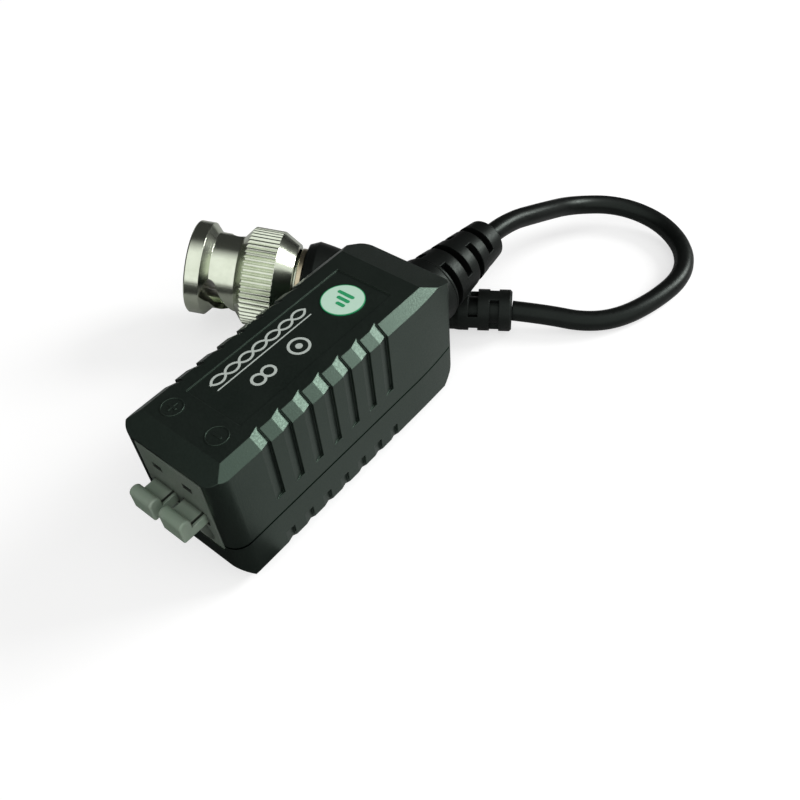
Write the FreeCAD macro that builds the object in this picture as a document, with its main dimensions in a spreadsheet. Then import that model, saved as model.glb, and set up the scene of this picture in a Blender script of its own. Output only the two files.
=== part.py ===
import FreeCAD, Part
import math
import operator
import os

import Sketcher

# A converter that joins a two-wire terminal to a short lead with a bayonet plug.
# Millimetres. Z is up, the terminals face -Y and the lead leaves at +Y.
# The housing's own frame has y = 0 at its front face; each piece is then placed
# so that the origin is on the surface under the middle of the converter.

doc = FreeCAD.newDocument("converter")
sheet = doc.addObject("Spreadsheet::Sheet", "Sizes")

SIZES = (
    # housing
    ("case_width", 15.8),
    ("case_height", 21.0),
    ("case_length", 41.7),
    ("parting_height", 7.9),
    ("parting_gap", 0.1),
    ("wall", 1.6),
    ("front_corner", 2.3),
    ("rear_corner", 1.5),
    ("rear_narrowing", 0.7),
    ("narrowing_length", 9.3),
    ("bevel_across", 1.5),
    ("top_bevel_drop", 1.2),
    ("base_bevel_rise", 2.0),
    ("front_bevel_depth", 2.65),
    ("front_bevel_drop", 1.5),
    ("ramp_length", 5.4),
    ("ramp_drop", 2.44),
    ("heel_radius", 7.0),
    ("chin_height", 3.8),
    ("chin_depth", 2.8),
    # finger grips
    ("grip_count", 7),
    ("grip_first", 8.47),
    ("grip_pitch", 3.29),
    ("grip_slope", 1.5),
    ("grip_depth", 0.42),
    ("grip_bevel_depth", 0.32),
    ("upper_grip_foot", 10.7),
    ("lower_grip_top", 4.0),
    # label panel
    ("panel_width", 8.8),
    ("panel_start", 7.5),
    ("panel_length", 25.7),
    ("panel_depth", 0.15),
    ("label_diameter", 5.6),
    ("label_place", 29.2),
    ("label_thickness", 0.12),
    # tongue, posts and catches inside the housing
    ("tongue_height", 1.0),
    ("tongue_thickness", 0.7),
    ("inner_clearance", 0.1),
    ("post_radius", 1.0),
    ("post_inset", 1.9),
    ("catch_width", 3.0),
    ("catch_thickness", 0.8),
    ("catch_reach", 2.2),
    ("catch_hook", 0.35),
    # terminal block
    ("block_width", 11.2),
    ("block_headroom", 0.3),
    ("block_length", 12.0),
    ("block_wall", 1.0),
    ("block_front_wall", 1.6),
    ("pole_pitch", 5.0),
    ("chamber_width", 4.0),
    ("funnel_mouth", 1.75),
    ("funnel_throat", 1.55),
    ("funnel_height", 2.1),
    ("test_slot_width", 1.6),
    ("test_slot_height", 0.9),
    ("test_slot_drop", 2.75),
    # levers
    ("lever_width", 3.7),
    ("lever_reach", 3.5),
    ("paddle_thickness", 1.6),
    ("paddle_height", 2.9),
    ("paddle_round", 0.75),
    ("stem_height", 1.3),
    ("stem_drop", 0.9),
    ("lever_travel", 7.0),
    ("lever_slot_room", 0.2),
    ("hinge_depth", 4.5),
    ("hinge_height", 5.8),
    ("hub_radius", 1.6),
    ("cam_length", 2.3),
    ("cam_width", 1.5),
    ("stem_groove_width", 0.35),
    ("stem_groove_place", 1.32),
    ("stem_groove_depth", 0.7),
    ("pin_radius", 0.75),
    ("pin_running_fit", 0.05),
    ("pin_seat_fit", 0.02),
    # clamp springs and contacts
    ("strip_width", 3.0),
    ("contact_thickness", 0.4),
    ("contact_pin_width", 0.9),
    ("contact_pin_place", 10.2),
    ("contact_pin_stub", 1.2),
    ("spring_thickness", 0.35),
    ("spring_back", 11.2),
    ("spring_bend", 1.5),
    ("spring_tip", 6.9),
    ("spring_tip_height", 2.1),
    ("spring_top_drop", 3.4),
    # circuit board and what is soldered to it
    ("board_width", 10.4),
    ("board_length", 32.0),
    ("board_thickness", 1.6),
    ("board_start", 2.0),
    ("board_underside", 5.1),
    ("core_place", 19.0),
    ("core_outer", 4.4),
    ("core_bore", 2.2),
    ("core_height", 4.0),
    ("turn_gauge", 0.45),
    ("turn_count", 10),
    ("turn_step", 11.5),
    ("capacitor_radius", 2.2),
    ("capacitor_thickness", 1.7),
    ("capacitor_place", 27.0),
    ("suppressor_radius", 2.6),
    ("suppressor_thickness", 2.2),
    ("suppressor_place", 30.6),
    ("resistor_radius", 0.85),
    ("resistor_length", 3.6),
    ("resistor_place", 25.0),
    ("lead_radius", 0.3),
    ("lead_stub", 0.9),
    # strain relief on the housing
    ("relief_height", 10.8),
    ("relief_flange_radius", 4.8),
    ("relief_flange_thickness", 1.2),
    ("relief_flange_gap", 0.12),
    ("relief_neck_radius", 3.8),
    ("relief_collar_radius", 5.0),
    ("relief_collar_length", 4.4),
    ("relief_taper_start", 4.8),
    ("relief_taper_end", 3.15),
    ("relief_length", 18.1),
    ("relief_core", 2.2),
    ("relief_slot_width", 1.3),
    ("relief_slot_first", 5.4),
    ("relief_slot_pitch", 3.1),
    ("relief_slot_turn", 140.0),
    # cord
    ("cord_diameter", 3.0),
    ("centre_lead_radius", 0.35),
    ("braid_radius", 0.6),
    # plug, along its own axis from the front of the coupling nut
    ("plug_across", -32.6),
    ("plug_along", 30.72),
    ("plug_height", 10.3),
    ("plug_heading", 32.07),
    ("plug_tilt", 11.2),
    ("nut_flange_radius", 6.9),
    ("nut_flange_length", 2.2),
    ("nut_band_radius", 5.7),
    ("nut_band_start", 3.3),
    ("nut_band_end", 7.0),
    ("nut_bore", 4.9),
    ("nut_edge", 0.2),
    ("knurl_radius", 7.35),
    ("knurl_start", 8.2),
    ("knurl_length", 4.5),
    ("knurl_count", 56),
    ("knurl_depth", 0.35),
    ("nut_tail_radius", 5.9),
    ("nut_length", 15.2),
    ("nut_room_radius", 5.3),
    ("shoulder_place", 10.0),
    ("shoulder_length", 0.8),
    ("nut_running_fit", 0.08),
    ("slot_width", 2.3),
    ("slot_start", 3.4),
    ("slot_rise", 2.6),
    ("slot_half_turn", 34.0),
    ("nut_roll", 110.0),
    ("entry_depth", 0.55),
    ("body_radius", 4.4),
    ("body_front", 7.6),
    ("body_collar_radius", 4.8),
    ("body_collar_length", 0.8),
    ("body_length", 8.0),
    ("body_passage", 1.0),
    ("stub_radius", 2.6),
    ("stub_length", 4.4),
    ("sleeve_radius", 4.05),
    ("sleeve_wall", 0.5),
    ("sleeve_front", 1.4),
    ("sleeve_slit", 0.45),
    ("sleeve_slit_length", 5.0),
    ("insulator_radius", 3.4),
    ("insulator_length", 5.4),
    ("tip_radius", 0.68),
    ("tip_front", 2.0),
    ("tip_length", 14.0),
    ("gasket_thickness", 0.7),
    ("spring_washer_height", 0.5),
    ("spring_washer_gauge", 0.2),
    ("washer_outer", 5.1),
    ("washer_gauge", 0.5),
    ("ring_groove_place", 11.1),
    ("ring_gauge", 0.7),
    ("ring_outer", 5.0),
    ("ring_groove_depth", 0.4),
    ("collar_radius", 5.4),
    ("collar_length", 0.8),
    ("ferrule_wall", 0.5),
    ("ferrule_length", 7.4),
    ("boot_gap", 0.2),
    ("boot_mouth_radius", 6.2),
    ("boot_bell_radius", 6.8),
    ("boot_bell_place", 18.0),
    ("boot_neck_radius", 4.6),
    ("boot_neck_place", 27.0),
    ("boot_shoulder_round", 42.0),
    ("boot_hollow_round", 26.7),
    ("boot_waist_radius", 3.0),
    ("boot_bend", 36.5),
    ("boot_bend_radius", 12.0),
    ("boot_tail_length", 11.5),
    ("boot_ring_radius", 3.1),
    ("boot_core", 2.0),
)

values = {}
for row, (name, number) in enumerate(SIZES, start=1):
    sheet.set(f"A{row}", name.replace("_", " "))
    sheet.set(f"B{row}", str(number))
    sheet.setAlias(f"B{row}", name)
    values[name] = float(number)
doc.recompute()


class Size:
    """A length or angle: its text for an expression and its number."""

    def __init__(self, text, number):
        self.text = text
        self.number = number

    def combine(self, other, sign):
        other = as_size(other)
        work = {"+": operator.add, "-": operator.sub, "*": operator.mul, "/": operator.truediv}
        number = work[sign](self.number, other.number)
        return Size(f"({self.text} {sign} {other.text})", number)

    def __add__(self, other):
        return self.combine(other, "+")

    def __radd__(self, other):
        return as_size(other).combine(self, "+")

    def __sub__(self, other):
        return self.combine(other, "-")

    def __rsub__(self, other):
        return as_size(other).combine(self, "-")

    def __mul__(self, other):
        return self.combine(other, "*")

    def __rmul__(self, other):
        return as_size(other).combine(self, "*")

    def __truediv__(self, other):
        return self.combine(other, "/")

    def __neg__(self):
        return Size(f"(0 - {self.text})", -self.number)


def as_size(value):
    if isinstance(value, Size):
        return value
    return Size(repr(float(value)), float(value))


def size(name):
    return Size(f"Sizes.{name}", values[name])


def root(value):
    return Size(f"sqrt({value.text})", math.sqrt(value.number))


def bind(thing, prop, value):
    thing.setExpression(prop, as_size(value).text)


def failed(thing):
    return "Invalid" in thing.State or "Error" in thing.State


def new_body(name):
    return doc.addObject("PartDesign::Body", name)


def origin_plane(body, role):
    for feature in body.Origin.OriginFeatures:
        if feature.Role == role:
            return feature
    raise ValueError(role)


def distance_to_origin(sketch, geometry, position, name, place):
    """Ties one corner of a sketch to its origin, across and up."""
    for axis, letter in ((0, "X"), (1, "Y")):
        value = as_size(place[axis])
        if abs(value.number) < 1e-9:
            line = -2 if axis == 0 else -1
            sketch.addConstraint(Sketcher.Constraint("PointOnObject", geometry, position, line))
            continue
        index = sketch.addConstraint(
            Sketcher.Constraint("Distance" + letter, -1, 1, geometry, position, value.number)
        )
        sketch.renameConstraint(index, name + letter.lower())
        bind(sketch, f"Constraints.{name}{letter.lower()}", value)


def draw_outline(sketch, name, corners):
    """A closed outline. A corner is (across, up) or (across, up, radius, side):
    then an arc of that radius leads to the next corner, with its centre on the
    left (+1) or on the right (-1)."""
    count = len(corners)
    first = sketch.GeometryCount
    for i, corner in enumerate(corners):
        following = corners[(i + 1) % count]
        a = FreeCAD.Vector(as_size(corner[0]).number, as_size(corner[1]).number, 0)
        b = FreeCAD.Vector(as_size(following[0]).number, as_size(following[1]).number, 0)
        if len(corner) == 2:
            sketch.addGeometry(Part.LineSegment(a, b), False)
            continue
        radius = as_size(corner[2]).number
        along = b - a
        left = FreeCAD.Vector(-along.y, along.x, 0).normalize()
        half = along.Length / 2
        middle = (a + b) * 0.5
        centre = middle + left * (corner[3] * math.sqrt(max(radius**2 - half**2, 0)))
        outward = (middle - centre).normalize() if radius > half + 1e-6 else left * -corner[3]
        sketch.addGeometry(Part.Arc(a, centre + outward * radius, b), False)
    places = []
    for i, corner in enumerate(corners):
        geometry = first + i
        start, end = 1, 2
        if len(corner) == 4 and corner[3] < 0:
            start, end = 2, 1
        places.append((geometry, start, end))
    for i, corner in enumerate(corners):
        geometry, start, end = places[i]
        nxt, next_start, unused = places[(i + 1) % count]
        sketch.addConstraint(Sketcher.Constraint("Coincident", geometry, end, nxt, next_start))
    for i, corner in enumerate(corners):
        geometry, start, end = places[i]
        distance_to_origin(sketch, geometry, start, f"{name}{i}", corner)
        if len(corner) == 4:
            index = sketch.addConstraint(
                Sketcher.Constraint("Radius", geometry, as_size(corner[2]).number)
            )
            sketch.renameConstraint(index, f"{name}{i}r")
            bind(sketch, f"Constraints.{name}{i}r", corner[2])


def draw(sketch, name, outline):
    if outline[0] == "circle":
        draw_circle(sketch, name + "c", outline[1], outline[2])
    else:
        draw_outline(sketch, name + "p", outline)


def draw_circle(sketch, name, centre, radius):
    x, y, r = (as_size(v) for v in (centre[0], centre[1], radius))
    geometry = sketch.GeometryCount
    circle = Part.Circle(FreeCAD.Vector(x.number, y.number, 0), FreeCAD.Vector(0, 0, 1), r.number)
    sketch.addGeometry(circle, False)
    distance_to_origin(sketch, geometry, 3, name, (x, y))
    index = sketch.addConstraint(Sketcher.Constraint("Radius", geometry, r.number))
    sketch.renameConstraint(index, f"{name}r")
    bind(sketch, f"Constraints.{name}r", r)


def new_sketch(body, name, plane, offset=0):
    """A sketch on an origin plane: XY seen from above, XZ or YZ, moved along
    the axis that the plane leaves out."""
    sketch = body.newObject("Sketcher::SketchObject", name)
    sketch.AttachmentSupport = [(origin_plane(body, plane + "_Plane"), "")]
    sketch.MapMode = "FlatFace"
    along_normal = -as_size(offset) if plane == "XZ" else as_size(offset)
    bind(sketch, "AttachmentOffset.Base.z", along_normal)
    return sketch


def finish_feature(body, feature, removes):
    before = body.Tip.Shape.Volume if body.Tip and body.Tip != feature else 0.0
    body.Tip = feature
    doc.recompute()
    if failed(feature) or feature.Shape.isNull():
        raise RuntimeError(f"{body.Name}: {feature.Name} failed")
    change = feature.Shape.Volume - before
    if (removes and change > -1e-6) or (not removes and change < 1e-6):
        raise RuntimeError(f"{body.Name}: {feature.Name} changed the volume by {change:.4f}")
    return feature


def extrude(body, name, plane, outlines, start, stop, cut=False):
    """Pads or pockets outlines from start to stop along the plane's axis.
    An outline is a list of corners, or ("circle", centre, radius)."""
    sketch = new_sketch(body, name + "_sketch", plane, start)
    for index, outline in enumerate(outlines):
        draw(sketch, f"o{index}", outline)
    tip = body.Tip
    feature = body.newObject("PartDesign::Pocket" if cut else "PartDesign::Pad", name)
    feature.Profile = sketch
    feature.Type = "Length"
    feature.Reversed = (plane == "XZ") != cut
    bind(feature, "Length", as_size(stop) - as_size(start))
    body.Tip = tip
    return finish_feature(body, feature, cut)


def turn(body, name, outlines, plane="XZ", cut=False, angle=360.0):
    """Revolves outlines, drawn as (radius, height), about the upright axis."""
    sketch = new_sketch(body, name + "_sketch", plane)
    for index, outline in enumerate(outlines):
        draw(sketch, f"o{index}", outline)
    tip = body.Tip
    feature = body.newObject("PartDesign::Groove" if cut else "PartDesign::Revolution", name)
    feature.Profile = sketch
    feature.ReferenceAxis = (sketch, ["V_Axis"])
    bind(feature, "Angle", angle)
    feature.Midplane = as_size(angle).number < 360
    body.Tip = tip
    return finish_feature(body, feature, cut)


def loft(body, name, plane, sections, cut=False):
    """Lofts straight between outlines, each given as (offset, corners)."""
    sketches = []
    for index, (offset, corners) in enumerate(sections):
        sketch = new_sketch(body, f"{name}_sketch{index}", plane, offset)
        draw(sketch, "o", corners)
        sketches.append(sketch)
    tip = body.Tip
    kind = "PartDesign::SubtractiveLoft" if cut else "PartDesign::AdditiveLoft"
    feature = body.newObject(kind, name)
    feature.Profile = sketches[0]
    feature.Sections = sketches[1:]
    feature.Ruled = True
    body.Tip = tip
    return finish_feature(body, feature, cut)


def around(body, name, features, count, removes):
    feature = body.newObject("PartDesign::PolarPattern", name)
    feature.Originals = features
    feature.Axis = (origin_plane(body, "Z_Axis"), [""])
    feature.Angle = 360
    bind(feature, "Occurrences", count)
    return finish_feature(body, feature, removes)


def dress(body, name, kind, amount, choose):
    """Rounds or bevels the chosen edges of what the body is so far."""
    base = body.Tip
    edges = [f"Edge{i}" for i, edge in enumerate(base.Shape.Edges, start=1) if choose(edge)]
    if not edges:
        raise RuntimeError(f"{body.Name}: {name} found no edge")
    feature = body.newObject("PartDesign::" + kind, name)
    feature.Base = (base, edges)
    bind(feature, "Radius" if kind == "Fillet" else "Size", amount)
    body.Tip = feature
    doc.recompute()
    if failed(feature):
        raise RuntimeError(f"{body.Name}: {name} failed")
    return feature


def box(name, low, high):
    thing = doc.addObject("Part::Box", name)
    for prop, axis in (("Length", 0), ("Width", 1), ("Height", 2)):
        bind(thing, prop, as_size(high[axis]) - as_size(low[axis]))
    for prop, axis in (("x", 0), ("y", 1), ("z", 2)):
        bind(thing, "Placement.Base." + prop, low[axis])
    return thing


def rod(name, start, radius, length, along="Z"):
    """A round rod from a point along one axis."""
    thing = doc.addObject("Part::Cylinder", name)
    bind(thing, "Radius", radius)
    bind(thing, "Height", length)
    turns = {
        "Z": FreeCAD.Rotation(),
        "X": FreeCAD.Rotation(FreeCAD.Vector(0, 1, 0), 90),
        "Y": FreeCAD.Rotation(FreeCAD.Vector(1, 0, 0), -90),
    }
    thing.Placement = FreeCAD.Placement(FreeCAD.Vector(), turns[along])
    for prop, axis in (("x", 0), ("y", 1), ("z", 2)):
        bind(thing, "Placement.Base." + prop, start[axis])
    return thing


def boolean(kind, name, things):
    if kind == "Cut":
        result = doc.addObject("Part::Cut", name)
        result.Base = things[0]
        result.Tool = things[1] if len(things) == 2 else boolean("Fuse", name + "_tools", things[1:])
    elif kind == "Common":
        result = doc.addObject("Part::Common", name)
        result.Base, result.Tool = things
    else:
        result = doc.addObject("Part::MultiFuse", name)
        result.Shapes = list(things)
        result.Refine = True
    doc.recompute()
    return result


def rounded_path(points, share=0.45):
    """Straight runs joined by arcs that touch them. Each arc takes the given
    share of its shorter run on both sides of its corner."""
    corners = [FreeCAD.Vector(*p) for p in points]
    edges = []
    radii = []
    reached = corners[0]
    for before, corner, after in zip(corners, corners[1:], corners[2:]):
        into = corner - before
        out = after - corner
        cut_back = share * min(into.Length, out.Length)
        into.normalize()
        out.normalize()
        half_turn = math.acos(max(-1.0, min(1.0, into.dot(out)))) / 2
        radius = cut_back / math.tan(half_turn)
        start = corner - into * cut_back
        end = corner + out * cut_back
        inward = (out - into).normalize()
        middle = corner + inward * (radius / math.cos(half_turn) - radius)
        edges.append(Part.LineSegment(reached, start).toShape())
        edges.append(Part.Arc(start, middle, end).toShape())
        reached = end
        radii.append(radius)
    edges.append(Part.LineSegment(reached, corners[-1]).toShape())
    return Part.Wire(edges), radii


def tube_along(points, radius):
    path, radii = rounded_path(points)
    start = FreeCAD.Vector(*points[0])
    heading = FreeCAD.Vector(*points[1]) - start
    ring = Part.Wire([Part.makeCircle(radius, start, heading)])
    solid = path.makePipeShell([ring], True, False, 2)
    return solid, path.Length, radii


pieces = []


def piece(thing, label, place=None):
    """Names a finished sub-part and puts it where it belongs."""
    thing.Label = label
    if place == "plug":
        thing.setExpression("Placement", PLUG_PLACE)
    elif place == "nut":
        thing.setExpression("Placement", PLUG_PLACE + " * placement(vector(0; 0; 0); "
                            "rotation(vector(0; 0; 1); Sizes.nut_roll))")
    elif place == "relief":
        thing.setExpression("Placement", RELIEF_PLACE)
    elif place is None:
        bind(thing, "Placement.Base.y", front_face)
    pieces.append(thing)
    return thing


# Places that several pieces share.
half_width = size("case_width") / 2
case_height = size("case_height")
case_length = size("case_length")
wall = size("wall")
crease = case_length - size("ramp_length")
relief_end = case_length + size("relief_length")
front_face = (size("lever_reach") - relief_end) / 2
room_half = half_width - wall
relief_height = size("relief_height")
neck = size("relief_neck_radius")
board_top = size("board_underside") + size("board_thickness")
block_half = size("block_width") / 2
block_base = board_top
block_top = case_height - wall - size("block_headroom")
hinge_z = block_base + size("hinge_height")
hinge_y = size("hinge_depth")
clear = size("inner_clearance")

PLUG_PLACE = (
    "placement(vector(Sizes.plug_across; "
    f"Sizes.plug_along + {front_face.text}; Sizes.plug_height); "
    "rotation(Sizes.plug_heading; 90 + Sizes.plug_tilt; 0))"
)
RELIEF_PLACE = (
    f"placement(vector(0; {(case_length + front_face).text}; Sizes.relief_height); "
    "rotation(vector(1; 0; 0); -90))"
)


def plan(half, rear_half, start, stop, straight_end, bend):
    """The housing seen from above: straight sides that draw in towards the back."""
    return [
        (-half, start),
        (half, start),
        (half, straight_end, bend, 1),
        (rear_half, stop),
        (-rear_half, stop, bend, 1),
        (-half, straight_end),
    ]


def block_of(name, half, low, high):
    """A box that is as wide to the left as to the right."""
    return box(name, (-as_size(half), low[0], low[1]), (half, high[0], high[1]))


# The housing's outer form: a rounded block that draws in at the back, with a
# sloping end of the roof, a round heel, a bevelled chin, long edge bevels and a
# bevel across the front of the roof.
narrow_from = case_length - size("narrowing_length")
side_bend = (size("narrowing_length") * size("narrowing_length")
             + size("rear_narrowing") * size("rear_narrowing")) / (size("rear_narrowing") * 2)
rear_half = half_width - size("rear_narrowing")
heel = size("heel_radius")
heel_from = case_length - heel
slope = size("ramp_drop") / size("ramp_length")
beyond = 2.0

form = new_body("outer_form")
extrude(form, "block", "XY",
        [plan(half_width, rear_half, 0, case_length, narrow_from, side_bend)], 0, case_height)


def upright(edge, x, y, slack=0.02):
    places = [v.Point for v in edge.Vertexes]
    return len(places) == 2 and all(
        abs(abs(p.x) - x) < slack and abs(p.y - y) < slack for p in places
    ) and abs(places[0].z - places[1].z) > 1


dress(form, "front_corners", "Fillet", size("front_corner"),
      lambda edge: upright(edge, half_width.number, 0))
dress(form, "rear_corners", "Fillet", size("rear_corner"),
      lambda edge: upright(edge, rear_half.number, case_length.number))
extrude(form, "roof_ramp", "YZ", [[
    (crease, case_height),
    (case_length + beyond, case_height - slope * (size("ramp_length") + beyond)),
    (case_length + beyond, case_height + beyond),
    (crease, case_height + beyond),
]], -half_width - beyond, half_width + beyond, cut=True)
extrude(form, "heel_round", "YZ", [[
    (heel_from, 0, heel, 1),
    (case_length, heel),
    (case_length + beyond, heel),
    (case_length + beyond, -beyond),
    (heel_from, -beyond),
]], -half_width - beyond, half_width + beyond, cut=True)
extrude(form, "chin_bevel", "YZ", [[
    (0, size("chin_height")),
    (-beyond, size("chin_height")),
    (-beyond, -beyond),
    (size("chin_depth"), -beyond),
    (size("chin_depth"), 0),
]], -half_width - beyond, half_width + beyond, cut=True)


def edge_wedge(side, drop_from, edge, away):
    """The corner that a bevel takes off one long edge of the housing."""
    x = half_width * side
    return [
        (x, drop_from),
        (x - size("bevel_across") * side, edge),
        (x - size("bevel_across") * side, edge + away),
        (x + side * 1.0, edge + away),
        (x + side * 1.0, drop_from),
    ]


extrude(form, "roof_bevels", "XZ",
        [edge_wedge(side, case_height - size("top_bevel_drop"), case_height, 1.0) for side in (1, -1)],
        -beyond, case_length + beyond, cut=True)
extrude(form, "base_bevels", "XZ",
        [edge_wedge(side, size("base_bevel_rise"), as_size(0), -1.0) for side in (1, -1)],
        -beyond, case_length + beyond, cut=True)
extrude(form, "front_bevel", "YZ", [[
    (size("front_bevel_depth"), case_height),
    (size("front_bevel_depth"), case_height + beyond),
    (-beyond, case_height + beyond),
    (-beyond, case_height - size("front_bevel_drop") * (size("front_bevel_depth") + beyond)
     / size("front_bevel_depth")),
]], -half_width - beyond, half_width + beyond, cut=True)

# Finger grips: each sinks towards the back and ends at a low step. The upper row
# runs over the roof bevel, the lower row over the bevel along the base.
grip_end = size("grip_first")
grip_start = grip_end - size("grip_slope")


def wedge(surface, depth):
    """Seen along a face: what sinks below it between the start and the step."""
    return [(surface, grip_start), (surface - depth, grip_end), (surface + 1, grip_end),
            (surface + 1, grip_start)]


def bevel_grip(name, across, rise, edge_height, upward):
    """A wedge that sinks into a long bevel, drawn square to the bevel."""
    span = root(across * across + rise * rise)
    normal_x, normal_z = rise / span, across / span * upward
    along_x, along_z = -across / span, rise / span * upward
    fold_height = edge_height - rise * upward
    surface = normal_x * half_width + normal_z * fold_height
    start = along_x * half_width + along_z * fold_height - 1
    sketch = new_sketch(form, name + "_sketch", "XY")
    angle = Size(f"({-upward} * atan({across.text} / {rise.text}))",
                 -upward * math.degrees(math.atan(across.number / rise.number)))
    face = 1 if upward > 0 else -1
    sketch.AttachmentOffset = FreeCAD.Placement(
        FreeCAD.Vector(), FreeCAD.Rotation(FreeCAD.Vector(0, 1, 0), angle.number)
    )
    bind(sketch, "AttachmentOffset.Rotation.Angle", angle)
    bind(sketch, "AttachmentOffset.Base.x", along_x * start)
    bind(sketch, "AttachmentOffset.Base.z", along_z * start)
    draw_outline(sketch, "w", wedge(surface, size("grip_bevel_depth")))
    tip = form.Tip
    feature = form.newObject("PartDesign::Pocket", name)
    feature.Profile = sketch
    feature.Reversed = face > 0
    bind(feature, "Length", span + 3)
    form.Tip = tip
    return finish_feature(form, feature, True)


grips = [
    extrude(form, "upper_grip", "XY", [wedge(half_width, size("grip_depth"))],
            size("upper_grip_foot"), case_height + 1, cut=True),
    bevel_grip("roof_bevel_grip", size("bevel_across"), size("top_bevel_drop"), case_height, 1),
    extrude(form, "lower_grip", "XY", [wedge(half_width, size("grip_depth"))],
            -1, size("lower_grip_top"), cut=True),
    bevel_grip("base_bevel_grip", size("bevel_across"), size("base_bevel_rise"), as_size(0), -1),
]
both_sides = form.newObject("PartDesign::Mirrored", "grips_both_sides")
both_sides.MirrorPlane = (origin_plane(form, "YZ_Plane"), [""])
along_side = form.newObject("PartDesign::LinearPattern", "grips_along_side")
along_side.Direction = (origin_plane(form, "Y_Axis"), [""])
along_side.Mode = "Spacing"
bind(along_side, "Offset", size("grip_pitch"))
bind(along_side, "Occurrences", size("grip_count"))
form.Tip = grips[-1]
grip_rows = form.newObject("PartDesign::MultiTransform", "grip_rows")
grip_rows.Originals = grips
grip_rows.Transformations = [both_sides, along_side]
form.Tip = grips[-1]
finish_feature(form, grip_rows, True)
extrude(form, "label_panel", "XY", [[
    (-size("panel_width") / 2, size("panel_start")),
    (size("panel_width") / 2, size("panel_start")),
    (size("panel_width") / 2, size("panel_start") + size("panel_length")),
    (-size("panel_width") / 2, size("panel_start") + size("panel_length")),
]], case_height - size("panel_depth"), case_height + 1, cut=True)

# The room inside follows the outer form one wall further in.
room = new_body("room")
room_rear = case_length - wall
room_run = size("narrowing_length") - wall
room_bend = side_bend - wall
room_rear_half = half_width - side_bend + root(room_bend * room_bend - room_run * room_run)
room_top = case_height - wall
extrude(room, "block", "XY",
        [plan(room_half, room_rear_half, wall, room_rear, narrow_from, room_bend)], wall, room_top)
extrude(room, "roof_ramp", "YZ", [[
    (crease, room_top),
    (room_rear + beyond, room_top - slope * (room_rear + beyond - crease)),
    (room_rear + beyond, room_top + beyond),
    (crease, room_top + beyond),
]], -half_width, half_width, cut=True)
extrude(room, "heel_round", "YZ", [[
    (heel_from, wall, heel - wall, 1),
    (room_rear, heel),
    (room_rear + beyond, heel),
    (room_rear + beyond, -beyond),
    (heel_from, -beyond),
]], -half_width, half_width, cut=True)
chin_span = root(size("chin_height") * size("chin_height") + size("chin_depth") * size("chin_depth"))
chin_reach = size("chin_height") * size("chin_depth") + wall * chin_span
extrude(room, "chin_bevel", "YZ", [[
    (wall, (chin_reach - size("chin_height") * wall) / size("chin_depth")),
    (0, (chin_reach - size("chin_height") * wall) / size("chin_depth")),
    (0, 0),
    ((chin_reach - size("chin_depth") * wall) / size("chin_height"), 0),
    ((chin_reach - size("chin_depth") * wall) / size("chin_height"), wall),
]], -half_width, half_width, cut=True)

block_mouth = block_of("block_mouth", block_half + clear, (-beyond, block_base - clear),
                       (wall + beyond, block_top + clear))
relief_hole = rod("relief_hole", (0, case_length - wall - beyond, relief_height), neck + clear,
                  wall + beyond * 2, "Y")
hollow_case = boolean("Cut", "hollow_case", [form, room, block_mouth, relief_hole])

parting = size("parting_height")
half_gap = size("parting_gap") / 2
reach = case_length + beyond


def tongue_prism(name, grow, low, high):
    """What the tongue fills, or with grow the groove that it enters."""
    body = new_body(name)
    half = room_half + size("tongue_thickness") + grow
    bend = room_bend + size("tongue_thickness") + grow
    start = wall - size("tongue_thickness") - grow
    stop = room_rear + size("tongue_thickness") + grow
    run = stop - narrow_from
    rear = half_width - side_bend + root(bend * bend - run * run)
    extrude(body, "block", "XY", [plan(half, rear, start, stop, narrow_from, bend)], low, high)
    return body


tongue_top = parting + size("tongue_height")
tongue_block = tongue_prism("tongue_block", as_size(0), parting - 1.0, tongue_top)
tongue = boolean("Cut", "tongue", [tongue_block, room, block_mouth, relief_hole])
tongue_room = tongue_prism("tongue_room", clear, parting - 1.0, tongue_top + clear)

# Catches: arms of the upper shell that hook into pockets of the lower one.
catch_outer = room_half - clear
catch_places = (size("core_place") - 3.0, size("suppressor_place") - 0.6)
catch_foot = parting - size("catch_reach")
arms = []
pockets = []
for side, hand in ((1, "right"), (-1, "left")):
    for number, place in enumerate(catch_places):
        near = place - size("catch_width") / 2
        far = place + size("catch_width") / 2
        inner = catch_outer - size("catch_thickness")
        across = ((inner, catch_outer) if side > 0 else (-catch_outer, -inner))
        root_across = ((inner, room_half + 0.3) if side > 0 else (-room_half - 0.3, -inner))
        hook_across = ((inner, catch_outer + size("catch_hook")) if side > 0
                       else (-catch_outer - size("catch_hook"), -inner))
        pocket_across = ((room_half - 0.2, room_half + size("catch_hook") + clear) if side > 0
                         else (-room_half - size("catch_hook") - clear, -room_half + 0.2))
        name = f"{hand}{number}"
        arms.append(box(f"catch_arm_{name}", (across[0], near, catch_foot),
                        (across[1], far, tongue_top + 1.6)))
        arms.append(box(f"catch_root_{name}", (root_across[0], near, tongue_top + 0.4),
                        (root_across[1], far, tongue_top + 2.4)))
        arms.append(box(f"catch_hook_{name}", (hook_across[0], near, catch_foot),
                        (hook_across[1], far, catch_foot + 0.7)))
        pockets.append(box(f"catch_pocket_{name}",
                           (pocket_across[0], near - clear, catch_foot - clear * 2),
                           (pocket_across[1], far + clear, catch_foot + 0.7 + clear)))

# Upper shell: roof and sides, open below and at the front, with a slot for the
# neck of the strain relief.
above = block_of("above", half_width + beyond, (-beyond, parting + half_gap),
                 (reach, case_height + beyond))
relief_slot = block_of("relief_slot", neck + clear, (case_length - wall - beyond, 0),
                       (reach, relief_height))
upper_cover = boolean("Common", "upper_cover", [hollow_case, above])
upper_open = boolean("Cut", "upper_open", [upper_cover, tongue_room, relief_slot])
upper_shell = piece(boolean("Fuse", "upper_shell_solid", [upper_open] + arms), "upper_shell")

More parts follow.
